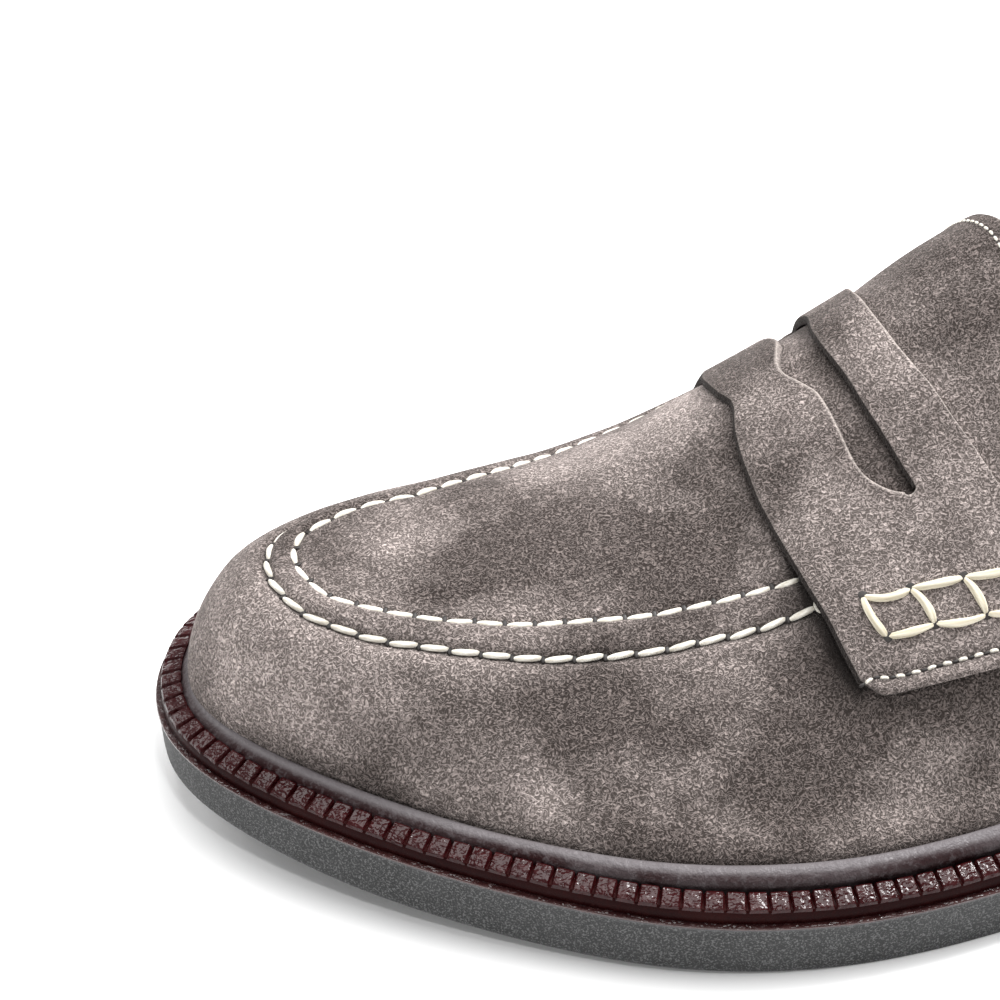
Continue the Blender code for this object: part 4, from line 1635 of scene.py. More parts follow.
        # Painted shade joins the nap's clouds in the shade mark.
        painted_shading = self.painted_shading(rounds, girth)
        top = np.zeros(shape)
        top[is_open, -1] = self.rim_drop
        outer = self.last.skin(rounds, up, outside + rise + swell - top.ravel())
        under = self.last.skin(rounds, up, outside + swell - thick)
        shared = partner >= 0
        draft = Draft(self.last)
        grids = []
        for points, shadow in ((outer, dip), (under, dip * 0)):
            shade = (self.shade(points) + painted_shading).reshape(shape)
            grid = draft.add(points.reshape(*shape, 3), shade=shade, dip=shadow.reshape(shape))
            grid[shared, -1] = grid[partner[shared], -1]
            grids.append(grid)
        face, back = grids
        draft.sheet(np.vstack([face, face[:1]]))
        draft.sheet(np.vstack([back, back[:1]]), flip=True)
        draft.strip(face[:, 0], back[:, 0], wrap=True)
        rim_points = (outer.reshape(*shape, 3)[:, -1] + under.reshape(*shape, 3)[:, -1]) / 2
        rim_points[is_open, 2] += self.rim_rise
        rim = np.where(is_open, draft.add(rim_points, shade=0.1), face[:, -1])
        for i in np.flatnonzero(is_open | np.roll(is_open, -1)):
            pair = [i, (i + 1) % len(around)]
            draft.strip(face[pair, -1], rim[pair], flip=True)
            draft.strip(rim[pair], back[pair, -1], flip=True)
        return draft.piece(name, finish)

    def build_suede(self, finish: Material) -> Object:
        """Draw the suede, with its seam and creases."""
        return self.shell("upper_suede", finish, self.levels, 0.0, self.wall, 0.0, True)

    def build_lining(self, finish: Material) -> Object:
        """Draw the lining inside the suede."""
        sizes = (-self.wall - self.lining_gap, self.lining, self.lining_drop)
        return self.shell("upper_lining", finish, self.lining_levels, *sizes, False)

    def seam_path(self, girths: RisingCurve, lift: float, start_x: float) -> Path:
        """Line of one stitch row of the apron, from the saddle round the toe to the saddle.

        Args:
            girths: Girth of the row by distance round the sole.
            lift: Distance out from the suede.
            start_x: Place on the spine where the row goes under the saddle.

        Returns:
            The line.
        """
        outer, inner = (float(self.last.rib_from_spine(start_x, side)) for side in Side)
        around = np.linspace(outer, inner, 700)
        girth = girths(around)
        return self.last.path(around, self.last.ups_at(around, girth), self.relief(around, girth) + lift)

    def loop(self, x: float, wide: float = 0.55, high: float = 0.95, thread: float = 0.34) -> Draft:
        """Small loop of thread where the outer row goes under the strap.

        Args:
            x: Place along the spine.
            wide: Half length of the loop along the row.
            high: Half length across the row.
            thread: Half thickness of the thread.

        Returns:
            The loop.
        """
        around = self.last.rib_from_spine(np.array([x, x - 0.5]), Side.OUTER)
        girth = self.row_outer(around)
        path = self.last.path(around, self.last.ups_at(around, girth), self.relief(around, girth) + 0.75)
        out = path.ups[0]
        along = unit(path.points[1] - path.points[0])
        across = np.cross(out, along)
        turn = turns(20)
        ahead, aside = np.outer(np.cos(turn), along), np.outer(np.sin(turn), across)
        centre = path.points[0] + wide * ahead + high * aside
        spread = unit(ahead / wide + aside / high)
        draft = Draft(self.last)
        rows = []
        for tilt in turns(8):
            ring = centre + thread * (math.cos(tilt) * spread + math.sin(tilt) * out)
            rows.append(draft.add(ring, ply=0.5 + 0.5 * np.cos(3 * tilt + 4 * turn)))
        draft.sheet(np.array([*rows, rows[0]]), wrap=True)
        return draft

    def collar_path(self, below: float, lift: float) -> Path:
        """Line of the fine stitches below the collar, from throat to throat round the heel.

        Args:
            below: Distance below the top edge.
            lift: Distance out from the suede.

        Returns:
            The line.
        """
        outer, inner = (float(self.last.rib_from_spine(self.collar_from, side)) for side in Side)
        around = np.linspace(outer, inner - self.last.total, 900) % self.last.total
        ups, girths, heights = self.last.rib_girths(around)
        edge = self.last.edge_height(around) - below
        up = np.array([np.interp(e, row, ups) for e, row in zip(edge, heights)])
        girth = np.array([np.interp(u, ups, row) for u, row in zip(up, girths)])
        return self.last.path(around, up, self.relief(around, girth) + lift)


@dataclass
class Saddle:
    """Penny strap with its slot, raw edges, folded hem and ladder of thick thread.

    Attributes:
        upper: Shell that it lies on.
        gap: Clearance under it.
        wall: Thickness of its suede.
        inner_cut: How much further back its front edge lies on the inner side.
        slot_drop: How much further back the slot's rear edge lies on the inner side.
    """

    upper: Upper
    gap: float = 0.3
    wall: float = 1.3
    across: int = 120
    ends: int = 44
    fold_girth: float = 30.0
    inner_scale: float = 0.6
    inner_cut: float = 0.9
    slot_drop: float = 1.2
    slot_bulge: float = 0.7
    hem_width: float = 2.35
    hem_height: float = 0.8
    edge_lift: float = 1.4
    skive: float = 0.5

    def __post_init__(self) -> None:
        """Read the edge tables."""
        self.last = self.upper.last
        self.front, self.rear, self.inner_front = curves(STRAP)
        self.slot_front, self.slot_rear = curves(SLOT)
        self.lower = curves(sorted(STRAP_END[2:8]))[0]

    @staticmethod
    def spread(places: Sequence[Place], count: int) -> Array:
        """Read a line of places again at even steps, without its ends."""
        line = np.array(places)
        return resample(line, np.linspace(0.0, lengths(line)[-1], count + 2)[1:-1])

    @staticmethod
    def loop(front: Array, end: Array, rear: Array) -> Array:
        """Closed edge from its front, its outer end and its rear; the inner end mirrors the outer one."""
        return np.concatenate([front, end, rear, end[::-1] * np.array([1.0, -1.0])])

    def front_edge(self, girth: Array) -> Array:
        """Places along the spine of the strap's front edge."""
        inner = self.inner_front(np.abs(girth)) - self.inner_cut * smooth_step(2.0, 9.0, -girth)
        return np.where(girth >= 0, self.front(np.abs(girth)), inner)

    def outer_loop(self) -> Array:
        """Outer edge of the strap.

        Returns:
            Places along the front edge, then round by the rear.
        """
        run = np.linspace(-1.0, 1.0, self.across + 1)
        front = run * STRAP_END[0].girth
        rear = -run * STRAP_END[-1].girth
        return self.loop(
            np.column_stack([self.front_edge(front), front]),
            self.spread(STRAP_END, self.ends),
            np.column_stack([self.rear(np.abs(rear)), rear]),
        )

    def slot_loop(self) -> Array:
        """Edge of the slot.

        Returns:
            Places in step with those of the outer edge.
        """
        corner = SLOT[-1]
        run = np.linspace(-1.0, 1.0, self.across + 1) * corner.girth
        front = self.slot_front(np.abs(run))
        rear = self.slot_rear(np.abs(run)) - self.slot_drop * smooth_step(3.0, 12.0, run)
        turn = np.linspace(0.0, math.pi, self.ends + 2)[1:-1]
        x = (corner.front + corner.rear + (corner.front - corner.rear) * np.cos(turn)) / 2
        end = np.column_stack([x, corner.girth + self.slot_bulge * np.sin(turn)])
        return self.loop(np.column_stack([front, run]), end, np.column_stack([rear, -run]))

    def fold(self, girth: Array) -> Array:
        """Girth on the last, shortened on the inner side, where the way down to the welt is less."""
        short = -self.fold_girth + (girth + self.fold_girth) * self.inner_scale
        return np.where(girth < -self.fold_girth, short, girth)

    def above_end(self, places: Array) -> Array:
        """Distances of places up from the strap's lower ends."""
        return self.lower(places[:, 0]) - np.abs(places[:, 1])

    def hem(self, places: Array) -> tuple[Array, Array]:
        """Rise of the folded hem along the lower ends.

        Args:
            places: Places on the strap.

        Returns:
            The rise, and how much each place lies in the stitched furrow above the hem.
        """
        above = self.above_end(places)
        share = np.clip(above / self.hem_width, 0.0, 1.0)
        rise = self.hem_height * np.clip(1 - (2 * share - 0.85) ** 2, 0.0, 1.0)
        furrow = hump(above, self.hem_width + 0.2, 0.7)
        return rise - 0.35 * furrow, furrow

    def lift(self, places: Array) -> Array:
        """How far the strap stands off: more at its front edge.

        Args:
            places: Places on the strap.

        Returns:
            Distances out.
        """
        ahead = self.front_edge(places[:, 1]) - places[:, 0]
        side = 0.12 + 0.88 * smooth_step(10.0, 36.0, places[:, 1]) * smooth_step(54.0, 44.0, places[:, 1])
        return self.edge_lift * side * smooth_step(10.0, 0.0, ahead)

    @staticmethod
    def painted_shading(places: Array) -> Array:
        """Painted shade over the strap's ridge and a little at its sides, and painted light behind the
        slot.

        Args:
            places: Places on the strap.

        Returns:
            Shades to add.
        """
        ridge = hump(places[:, 1], -7.0, 10.0)
        side = hump(places[:, 1], 18.0, 9.0)
        return 0.08 - 1.15 * ridge - 0.15 * side + 0.2 * smooth_step(46.0, 42.0, places[:, 0])

    def at(self, places: Array, away: Array) -> Path:
        """Line through places of the strap at distances out from the last."""
        return self.last.path(*self.last.places(places[:, 0], self.fold(places[:, 1])), away)

    def top(self, places: Array) -> Path:
        """Line through places on the strap's top face."""
        return self.at(places, self.gap + self.wall + self.hem(places)[0] + self.lift(places))

    def build(self, finish: Material) -> Object:
        """Draw the strap.

        Args:
            finish: Its suede.

        Returns:
            The piece.
        """
        inside, outside = self.slot_loop(), self.outer_loop()
        width = np.linalg.norm(outside - inside, axis=1)
        near = np.array([0.0, 0.08, 0.22, 0.5, 1.1])
        far = np.array([3.6, 3.0, 2.6, 2.2, 1.7, 1.2, 0.75, 0.35, 0.1, 0.0])
        start, end = near[-1] / width, 1 - far[0] / width
        shares = [distance / width for distance in near]
        shares += [start + (end - start) * share for share in np.linspace(0.0, 1.0, 16)[1:-1]]
        shares += [1 - distance / width for distance in far]
        # How much each edge faces the heel, where the key lamp hangs.
        heel_ward = np.repeat([0.0, 0.4, 1.0, 0.4], [self.across + 1, self.ends] * 2)
        draft = Draft(self.last)
        tops = []
        for share in shares:
            places = inside + (outside - inside) * share[:, None]
            rise, furrow = self.hem(places)
            edge = np.minimum(share, 1 - share) * width
            away = self.gap + self.wall + rise + self.lift(places) - 0.2 * fade(edge, 0.3) ** 2
            points = self.at(places, away).points
            hemmed = smooth_step(self.hem_width + 0.5, self.hem_width - 0.5, self.above_end(places))
            lit = np.where(share > 0.5, heel_ward, 1 - heel_ward)
            # Cut edges are paler, with painted light on those that face the lamp.
            raw = (0.25 + 0.75 * lit) * fade(edge, 0.36) * (1 - hemmed)
            shade = Upper.shade(points) * 0.5 + self.painted_shading(places)
            # Painted shade lies in the stitched furrow above the hem.
            tops.append(draft.add(points, shade=shade, raw=raw, dip=0.35 * furrow))
        draft.sheet(np.array(tops), wrap=True)
        walls = []
        for places, lit in ((inside, 1 - heel_ward), (outside, heel_ward)):
            lifted = self.gap + self.lift(places)
            thick = self.wall + np.maximum(self.hem(places)[0], 0.0)
            rows = []
            for skive, share in ((0.06, 0.9), (self.skive, 0.5), (self.skive, 0.0)):
                cut = places + np.outer(skive * (lit < 0.1), [1.0, 0.0])
                # Walls facing away from the lamp get painted shade, walls facing it painted light.
                dip = 0.95 - (0.6 + 0.4 * share) * lit
                points = self.at(cut, lifted + share * thick).points
                rows.append(draft.add(points, raw=(0.2 + 0.5 * share) * lit, dip=dip))
            walls.append(rows)
        draft.sheet(np.array([*walls[0][::-1], tops[0]]), wrap=True)
        draft.sheet(np.array([tops[-1], *walls[1]]), wrap=True)
        draft.strip(walls[1][-1], walls[0][-1], wrap=True)
        return draft.piece("saddle_strap", finish, 60.0)

    def hem_path(self, side: Side) -> Path:
        """Line of the fine stitches above the hem.

        Args:
            side: Side of the shoe.

        Returns:
            The line.
        """
        x = np.linspace(58.1, 29.0, 200)
        girth = (self.lower(x) - self.hem_width - 0.1) * side.value
        base = self.top(np.column_stack([x, girth]))
        return Path(base.points + base.ups * 0.12, base.ups)

    def ladder(self, side: Side, radius: float = 0.69, flat: float = 0.72, bow: float = 0.5) -> Draft:
        """Thick strands of the ladder on one side.

        Args:
            side: Side of the shoe.
            radius: Half width of a strand.
            flat: Share of the width that is its thickness.
            bow: How far a strand's middle stands off the strap.

        Returns:
            The strands, drawn together.
        """
        mirror = np.array([1.0, side.value])
        top, bottom = np.array(LADDER_TOP) * mirror, np.array(LADDER_BOTTOM) * mirror
        starts = np.concatenate([top[:-1], bottom[:-1], top])
        ends = np.concatenate([top[1:], bottom[1:], bottom])
        share = np.linspace(0.0, 1.0, 15)
        turn = turns(12)
        draft = Draft(self.last)
        for number, (start, end) in enumerate(zip(starts, ends)):
            rung = number >= len(starts) - len(top)
            places = start + (end - start) * (0.96 * share + 0.02)[:, None]
            sag = LADDER_SAG[number] * 4 * share * (1 - share)
            base = self.top(places + np.outer(sag, [-1.0, 0.0] if rung else [0.0, side.value]))
            height = (bow + (0.12 if rung else 0.0)) * (1 - (2 * share - 1) ** 4) - 0.2
            line = base.points + base.ups * height[:, None]
            along = unit(np.gradient(line, axis=0))
            across = unit(np.cross(along, base.ups))
            out = np.cross(across, along)
            taper = radius * (0.52 + 0.48 * np.sin(math.pi * np.clip(share * 1.04 - 0.02, 0, 1)) ** 0.55)
            taper = taper * (1 + 0.07 * np.sin(9.0 * share + number))
            twist = 0.5 + 0.5 * np.cos(4 * turn + 4.0 * share[:, None] + number)
            swell = taper[:, None] * (1 - 0.2 * twist)
            rings = line[:, None] + across[:, None] * (swell * np.cos(turn))[:, :, None]
            rings = rings + out[:, None] * (flat * swell * np.sin(turn))[:, :, None]
            draft.tube(draft.add(rings, ply=twist), draft.add(line[[0, -1]], ply=0.6))
        return draft

    def ladder_holes(self, side: Side, radius: float = 0.85) -> Draft:
        """Dark lenses of painted shadow in the needle holes at the corners of the ladder on one side.

        Args:
            side: Side of the shoe.
            radius: Half width of a hole.

        Returns:
            The holes, drawn together as flat lenses.
        """
        base = self.top(np.array(LADDER_TOP + LADDER_BOTTOM) * np.array([1.0, side.value]))
        turn = turns(12)
        levels = ((1.0, -0.3), (1.0, 0.02), (0.7, 0.09))
        draft = Draft(self.last)
        for point, up in zip(base.points, base.ups):
            along = unit(np.cross(up, np.array([0.0, 0.0, 1.0])))
            ring = radius * (np.outer(np.cos(turn), along) + np.outer(np.sin(turn), np.cross(up, along)))
            rows = [draft.add(point + ring * wide + up * rise) for wide, rise in levels]
            draft.tube(rows, draft.add(np.array([point - up * 0.3, point + up * 0.1])))
        return draft


@dataclass
class Tongue:
    """Sheet that comes up from under the saddle, with a stitched edge and a small fold behind the strap."""

    upper: Upper
    wall: float = 1.7
    rows: int = 60
    columns: int = 80
    slit: float = 0.8
    high: float = 1.35
    low: float = 0.45
    fold_height: float = 0.25

    def __post_init__(self) -> None:
        """Read the edge girths."""
        self.last = self.upper.last
        self.edges = dict(zip(Side, curves(TONGUE)))

    def half(self, x: Array, side: Side) -> Array:
        """Girth of one edge, kept inside the upper's top edge.

        Args:
            x: Places along the spine.
            side: Side of the shoe.

        Returns:
            Girths of the edge.
        """
        _, girths, heights = self.last.rib_girths(self.last.rib_from_spine(x, side))
        rows = zip(self.last.edge_z(x), heights, girths)
        limit = np.array([np.interp(edge, height, girth) for edge, height, girth in rows])
        return np.minimum(self.edges[side](x), limit - self.slit)

    def place(self, down: Array, across: Array) -> tuple[Array, Array]:
        """Find places on the tongue.

        Args:
            down: Shares of the way down from its top edge.
            across: Shares of the way out to its sides.

        Returns:
            Places along the spine, and girths.
        """
        x = TONGUE[0].x + (TONGUE[-1].x - TONGUE[0].x) * down
        wide = np.where(across >= 0, self.half(x, Side.OUTER), self.half(x, Side.INNER))
        return x, across * wide

    def rise(self, x: Array, girth: Array) -> Array:
        """How far the tongue swells off the last behind the strap, with a small fold against it.

        Args:
            x: Places along the spine.
            girth: Girths from the spine.

        Returns:
            Distances out.
        """
        swell = self.low + (self.high - self.low) * smooth_step(9.0, -4.0, girth)
        fold = self.fold_height * hump(x, 39.3, 0.7) * hump(girth, -9.0, 6.5)
        return swell * smooth_step(41.2, 27.0, x) ** 0.6 + fold

    def build(self, finish: Material) -> Object:
        """Draw the tongue.

        Args:
            finish: Its suede.

        Returns:
            The piece.
        """
        down = np.concatenate([[0.0, 0.006, 0.02, 0.04], np.linspace(0.065, 1.0, self.rows)])
        brim = np.array([0.97, 0.99, 1.0])
        across = np.concatenate([-brim[::-1], np.linspace(-0.94, 0.94, self.columns), brim])
        shape = (len(down), len(across))
        grid_down, grid_across = np.repeat(down, len(across)), np.tile(across, len(down))
        x, girth = self.place(grid_down, grid_across)
        around, up = self.last.places(x, girth)
        rise = self.rise(x, girth)
        edge = np.minimum((1 - np.abs(grid_across)) * 20.0, grid_down * 24.0)
        outer = self.last.skin(around, up, rise - 0.55 * fade(edge, 0.7) ** 2).reshape(*shape, 3)
        under = self.last.skin(around, up, rise - self.wall).reshape(*shape, 3)
        tone = -0.7 + 0.6 * smooth_step(31.0, 38.0, x) + 0.7 * smooth_step(8.0, 20.0, girth)
        shade = Upper.shade(outer) * 0.6 + tone.reshape(shape)
        draft = Draft(self.last)
        face = draft.add(outer, shade=shade, raw=0.5 * fade(edge, 0.25).reshape(shape))
        back = draft.add(under, shade=-0.1)
        draft.sheet(face, flip=True)
        draft.sheet(back)
        rims = [np.concatenate([g[0], g[1:, -1], g[-1, -2::-1], g[-2:0:-1, 0]]) for g in (face, back)]
        draft.strip(*rims, wrap=True)
        return draft.piece("tongue_sheet", finish, 70.0)

    def edge_path(self, inset: float = 0.108) -> Path:
        """Line of the fine stitches inside the free edge, from side to side.

        Args:
            inset: Share of the way down from the top edge.

        Returns:
            The line.
        """
        across = np.linspace(-0.9, 0.9, 220)
        x, girth = self.place(inset + 0.05 * np.abs(across / 0.9) ** 6, across)
        return self.last.path(*self.last.places(x, girth), self.rise(x, girth) + 0.05)


@dataclass
class StormWelt:
    """Welt round the shoe: bead against the upper, groove, wheeled flange and dressed edge.

    Attributes:
        last: Form that the shoe is drawn over.
        pitch: Distance between the wheeled notches.
    """

    last: Last
    sections: int = 420
    inset: float = 0.6
    foot_drop: float = 0.87
    edge_height: float = 1.45
    notch_floor: float = 1.95
    top_height: float = 2.0
    flange_in: float = 3.7
    groove_floor: float = 1.1
    bead_in: float = 4.15
    bead_width: float = 3.0
    bead_middle: float = 3.75
    toe_out: float = 0.6
    toe_drop: float = 0.95
    pitch: float = 3.13
    block_fill: float = 0.97

    def upper_edge(self, around: Array) -> Array:
        """How far out the upper stands from the sole edge, at the height of the bead's middle.

        Args:
            around: Distances round the sole.

        Returns:
            Distances out.
        """
        edge, out = self.last.sole_edge(around)
        ups, _, _ = self.last.rib_girths(around)
        grid = self.last.point(np.repeat(around, len(ups)), np.tile(ups, len(around)))
        grid = grid.reshape(len(around), len(ups), 3)
        rise = grid[:, :, 2] - grid[:, :1, 2]
        spread = ((grid[:, :, :2] - edge[:, None, :]) * out[:, None, :]).sum(axis=2)
        return np.array([np.interp(self.bead_middle, r, s) for r, s in zip(rise, spread)])

    def ring(self, around: Array, away: Array | float, height: Array | float) -> Array:
        """Points of one line of the sweep.

        Args:
            around: Distances round the sole.
            away: Distances out from the sole edge.
            height: Heights over the deck.

        Returns:
            The points.
        """
        edge, out = self.last.sole_edge(around)
        plan = edge + out * np.broadcast_to(away, len(edge))[:, None]
        return np.column_stack([plan, self.last.deck(plan[:, 0]) + height])

    def sweep(self, name: str, profile: Sequence[tuple[Array, Array, float]], finish: Material) -> Object:
        """Sweep a closed profile round the shoe.

        Args:
            name: Name of the piece.
            profile: Distance out, height, and share of wear and painted sheen for each point of the
                profile.
            finish: Material of the piece.

        Returns:
            The piece.
        """
        around = self.last.stations(self.sections)
        draft = Draft(self.last)
        rows = [draft.add(self.ring(around, away, height), worn=wear) for away, height, wear in profile]
        draft.sheet(np.array([*rows, rows[0]]), wrap=True, flip=True)
        return draft.piece(name, finish, 50.0)

    def build_bead(self, finish: Material) -> Object:
        """Draw the bead, which is lower and further out at the toe.

        Args:
            finish: Its dye.

        Returns:
            The piece.
        """
        around = self.last.stations(self.sections)
        toe = smooth_step(246.0, 296.0, around) * smooth_step(470.0, 420.0, around)
        front = -self.bead_in + self.toe_out * toe
        drop = self.toe_drop * toe
        profile = []
        for point in BEAD:
            lowered = point.height - drop * smooth_step(BEAD[0].height, BEAD[1].height, point.height)
            profile.append((front + point.out, lowered, point.wear))
        behind = np.minimum(self.upper_edge(around) + 1.2, front - self.bead_width)
        profile += [(behind, 2.2, 0.2), (behind, BEAD[0].height, 0.0)]
        return self.sweep("welt_bead", profile, finish)

    def build_flange(self, finish: Material) -> Object:
        """Draw the flange with its dressed edge and the groove beside the bead."""
        profile = [
            (-self.inset, -self.foot_drop, 0.0),
            (-self.inset + 0.07, 0.2, 0.05),
            (-self.inset, self.edge_height - 0.35, 0.1),
            (-self.inset - 0.2, self.edge_height, 0.2),
            (-self.flange_in + 0.2, self.notch_floor, 0.25),
            (-self.flange_in, self.notch_floor - 0.1, 0.1),
            (-self.bead_in + 0.1, self.groove_floor, 0.0),
            (-self.bead_in - 0.9, self.groove_floor, 0.0),
            (-self.bead_in - 0.9, -self.foot_drop, 0.0),
        ]
        return self.sweep("welt_flange", profile, finish)

    def build_blocks(self, repeater: PathRepeater, shape: Object, finish: Material) -> Object:
        """Lay the wheeled blocks on the flange.

        Args:
            repeater: Tree that repeats a shape.
            shape: One block.
            finish: Material of the piece.

        Returns:
            The piece.
        """
        around = np.linspace(0.0, self.last.total, 1600)
        points = self.ring(around, -(self.inset + self.flange_in) / 2, self.top_height)
        path = Path(points, np.tile([0.0, 0.0, 1.0], (len(points), 1)))
        length = path.length()
        count = int(round(length / self.pitch))
        sizes = {
            "Count": count,
            "Length": self.pitch * self.block_fill * MM,
            "Width": MM,
            "Height": MM,
            "Waver": math.radians(1.2),
        }
        path = path.part(0.0, length - length / count)
        return repeater.lay("welt_blocks", path, shape, finish, 26.0, **sizes)


@dataclass
class SoleUnit:
    """Midsole lip, rubber outsole, heel block and sock."""

    last: Last
    sections: int = 420
    proud: float = 0.3
    undercut: float = 0.7
    heel_breast: float = -76.0
    heel_top_inset: float = 0.6
    heel_bottom_inset: float = 2.0
    heel_seam: float = 0.33
    heel_samples: int = 161
    sock_inset: float = 2.9
    sock_thick: float = 4.0

    def layer(
        self, name: str, profile: Sequence[tuple[float, float, float, bool]], finish: Material, mark: str
    ) -> Object:
        """Draw a closed layer from a profile round the whole sole.

        Args:
            name: Name of the piece.
            profile: Distance out, height, mark, and whether the height is from the rubber's top.
            finish: Material of the piece.
            mark: Name of the point mark.

        Returns:
            The piece.
        """
        edge, out = self.last.sole_edge(self.last.stations(self.sections))
        draft = Draft(self.last)
        rows = []
        for away, height, value, from_top in profile:
            plan = edge + out * away
            base = self.last.rubber_top(plan[:, 0]) if from_top else self.last.tread(plan[:, 0])
            rows.append(draft.add(np.column_stack([plan, base + height]), **{mark: value}))
        draft.barrel(rows)
        return draft.piece(name, finish, 35.0)

    def build_outsole(self, finish: Material) -> Object:
        """Draw the rubber outsole with its trimmed rim, painted paler, partly as a highlight."""
        profile = [
            (-self.undercut - 0.3, 0.0, 0.0, False),
            (-self.undercut, 0.12, 0.25, False),
            (-0.85 * self.undercut, 0.8, 0.0, False),
            (-0.08, -1.2, 0.0, True),
            (0.0, -0.45, 0.1, True),
            (-0.03, -0.2, 0.85, True),
            (-0.25, 0.0, 0.8, True),
            (-1.6, 0.0, 0.3, True),
        ]
        return self.layer("outsole_rubber", profile, finish, "rim")

    def build_midsole(self, finish: Material) -> Object:
        """Draw the thin midsole, whose edge is the glossy lip."""
        profile = [
            (-1.2, 0.0, 0.0, True),
            (0.08, 0.02, 0.1, True),
            (self.proud, 0.14, 0.3, True),
            (self.proud, 0.36, 0.35, True),
            (self.proud - 0.1, 0.50, 0.3, True),
            (-0.55, 0.64, 0.0, True),
            (-2.0, 0.64, 0.0, True),
        ]
        return self.layer("midsole_lip", profile, finish, "worn")

    def heel_outline(self, inset: float) -> Array:
        """Plan of the heel.

        Args:
            inset: How far in from the sole edge it runs.

        Returns:
            Points from the inner breast corner round the back to the outer one.
        """
        edge, out = self.last.sole_edge(self.last.stations(1600))
        plan = edge - out * inset
        behind = plan[:, 0] < self.heel_breast
        first = int(np.flatnonzero(behind & ~np.roll(behind, 1))[0])
        rear = np.roll(plan, -first, axis=0)[np.roll(behind, -first)]
        line = resample(rear, np.linspace(0.0, lengths(rear)[-1], self.heel_samples))
        line[[0, -1], 0] = self.heel_breast
        return line

    def build_heel(self, finish: Material) -> Object:
        """Draw the heel block with a seam above its top piece.

        Args:
            finish: Its rubber.

        Returns:
            The piece.
        """
        draft = Draft(self.last)
        total = self.heel_bottom_inset - self.heel_top_inset
        seam_inset = self.heel_bottom_inset - self.heel_seam * total
        # The rim mark paints the heel's edges paler, partly as a highlight.
        levels = [
            (self.heel_bottom_inset + 0.5, 0.0, 0.0),
            (self.heel_bottom_inset, 0.02, 0.2),
            (seam_inset, self.heel_seam, 0.0),
            (seam_inset + 0.25, self.heel_seam + 0.015, 0.0),
            (seam_inset - 0.03 * total, self.heel_seam + 0.03, 0.0),
            (self.heel_top_inset, 0.97, 0.0),
            (self.heel_top_inset + 0.3, 1.0, 0.5),
        ]
        rows = []
        for inset, share, rim in levels:
            plan = self.heel_outline(inset)
            height = (self.last.tread(plan[:, 0]) - self.last.gap) * share
            rows.append(draft.add(np.column_stack([plan, height]), rim=rim))
        grid = np.array(rows)
        draft.sheet(grid)
        half = grid.shape[1] // 2 + 1
        draft.strip(grid[0, :half], grid[0, ::-1][:half], flip=True)
        draft.strip(grid[-1, :half], grid[-1, ::-1][:half])
        draft.strip(grid[:, 0], grid[:, -1])
        return draft.piece("heel_block", finish, 35.0)

    def build_sock(self, finish: Material) -> Object:
        """Draw the sock on its board.

        Args:
            finish: Its leather.

        Returns:
            The piece.
        """
        around = self.last.stations(self.sections)
        edge, out = self.last.sole_edge(around)
        start = self.last.column(around, "reach") + self.sock_inset
        thick = self.sock_thick
        draft = Draft(self.last)
        rows = []
        for inset, height in ((0.0, 0.0), (0.0, thick - 0.6), (0.4, thick), (6.0, thick)):
            plan = edge - out * (start + inset)[:, None]
            rows.append(draft.add(np.column_stack([plan, self.last.deck(plan[:, 0]) + height])))
        draft.barrel(rows)
        return draft.piece("sock", finish, 40.0)


@dataclass
class StitchRow:
    """Sizes of one row of stitches, in millimetres, and of the dark lenses of painted shadow in the needle
    holes between them.
    """

    pitch: float
    length: float
    width: float
    height: float
    hole: float
    slant: float = 0.0
    waver: float = 0.0
    hole_along: float = 0.9
    hole_lift: float = -0.08
    seed: int = 3

    def lay(
        self,
        name: str,
        path: Path,
        repeater: PathRepeater,
        shapes: dict[str, Object],
        finishes: dict[str, Material],
    ) -> list[Object]:
        """Lay the stitches and the holes.

        Args:
            name: Name of the row.
            path: Line of the row.
            repeater: Tree that repeats a shape.
            shapes: Stitch and hole shapes.
            finishes: Materials by name.

        Returns:
            The pieces.
        """
        length = path.length()
        count = int(round(length / self.pitch))
        spacing = length / count
        stitch = {
            "Count": count,
            "Length": self.length * spacing / self.pitch * MM,
            "Width": self.width * MM,
            "Height": self.height * MM,
            "Slant": math.radians(self.slant),
            "Waver": math.radians(self.waver),
            "Seed": self.seed,
        }
        hole = {
            "Count": count + 1,
            "Length": self.hole_along * MM,
            "Width": self.hole * MM,
            "Height": 0.5 * self.hole_along * MM,
            "Lift": self.hole_lift * MM,
        }
        between = path.part(spacing / 2, length - spacing / 2)
        return [
            repeater.lay(name, between, shapes["stitch"], finishes["ivory_thread"], **stitch),
            repeater.lay(name + "_holes", path.part(0.0, length), shapes["hole"], finishes["hole"], **hole),
        ]


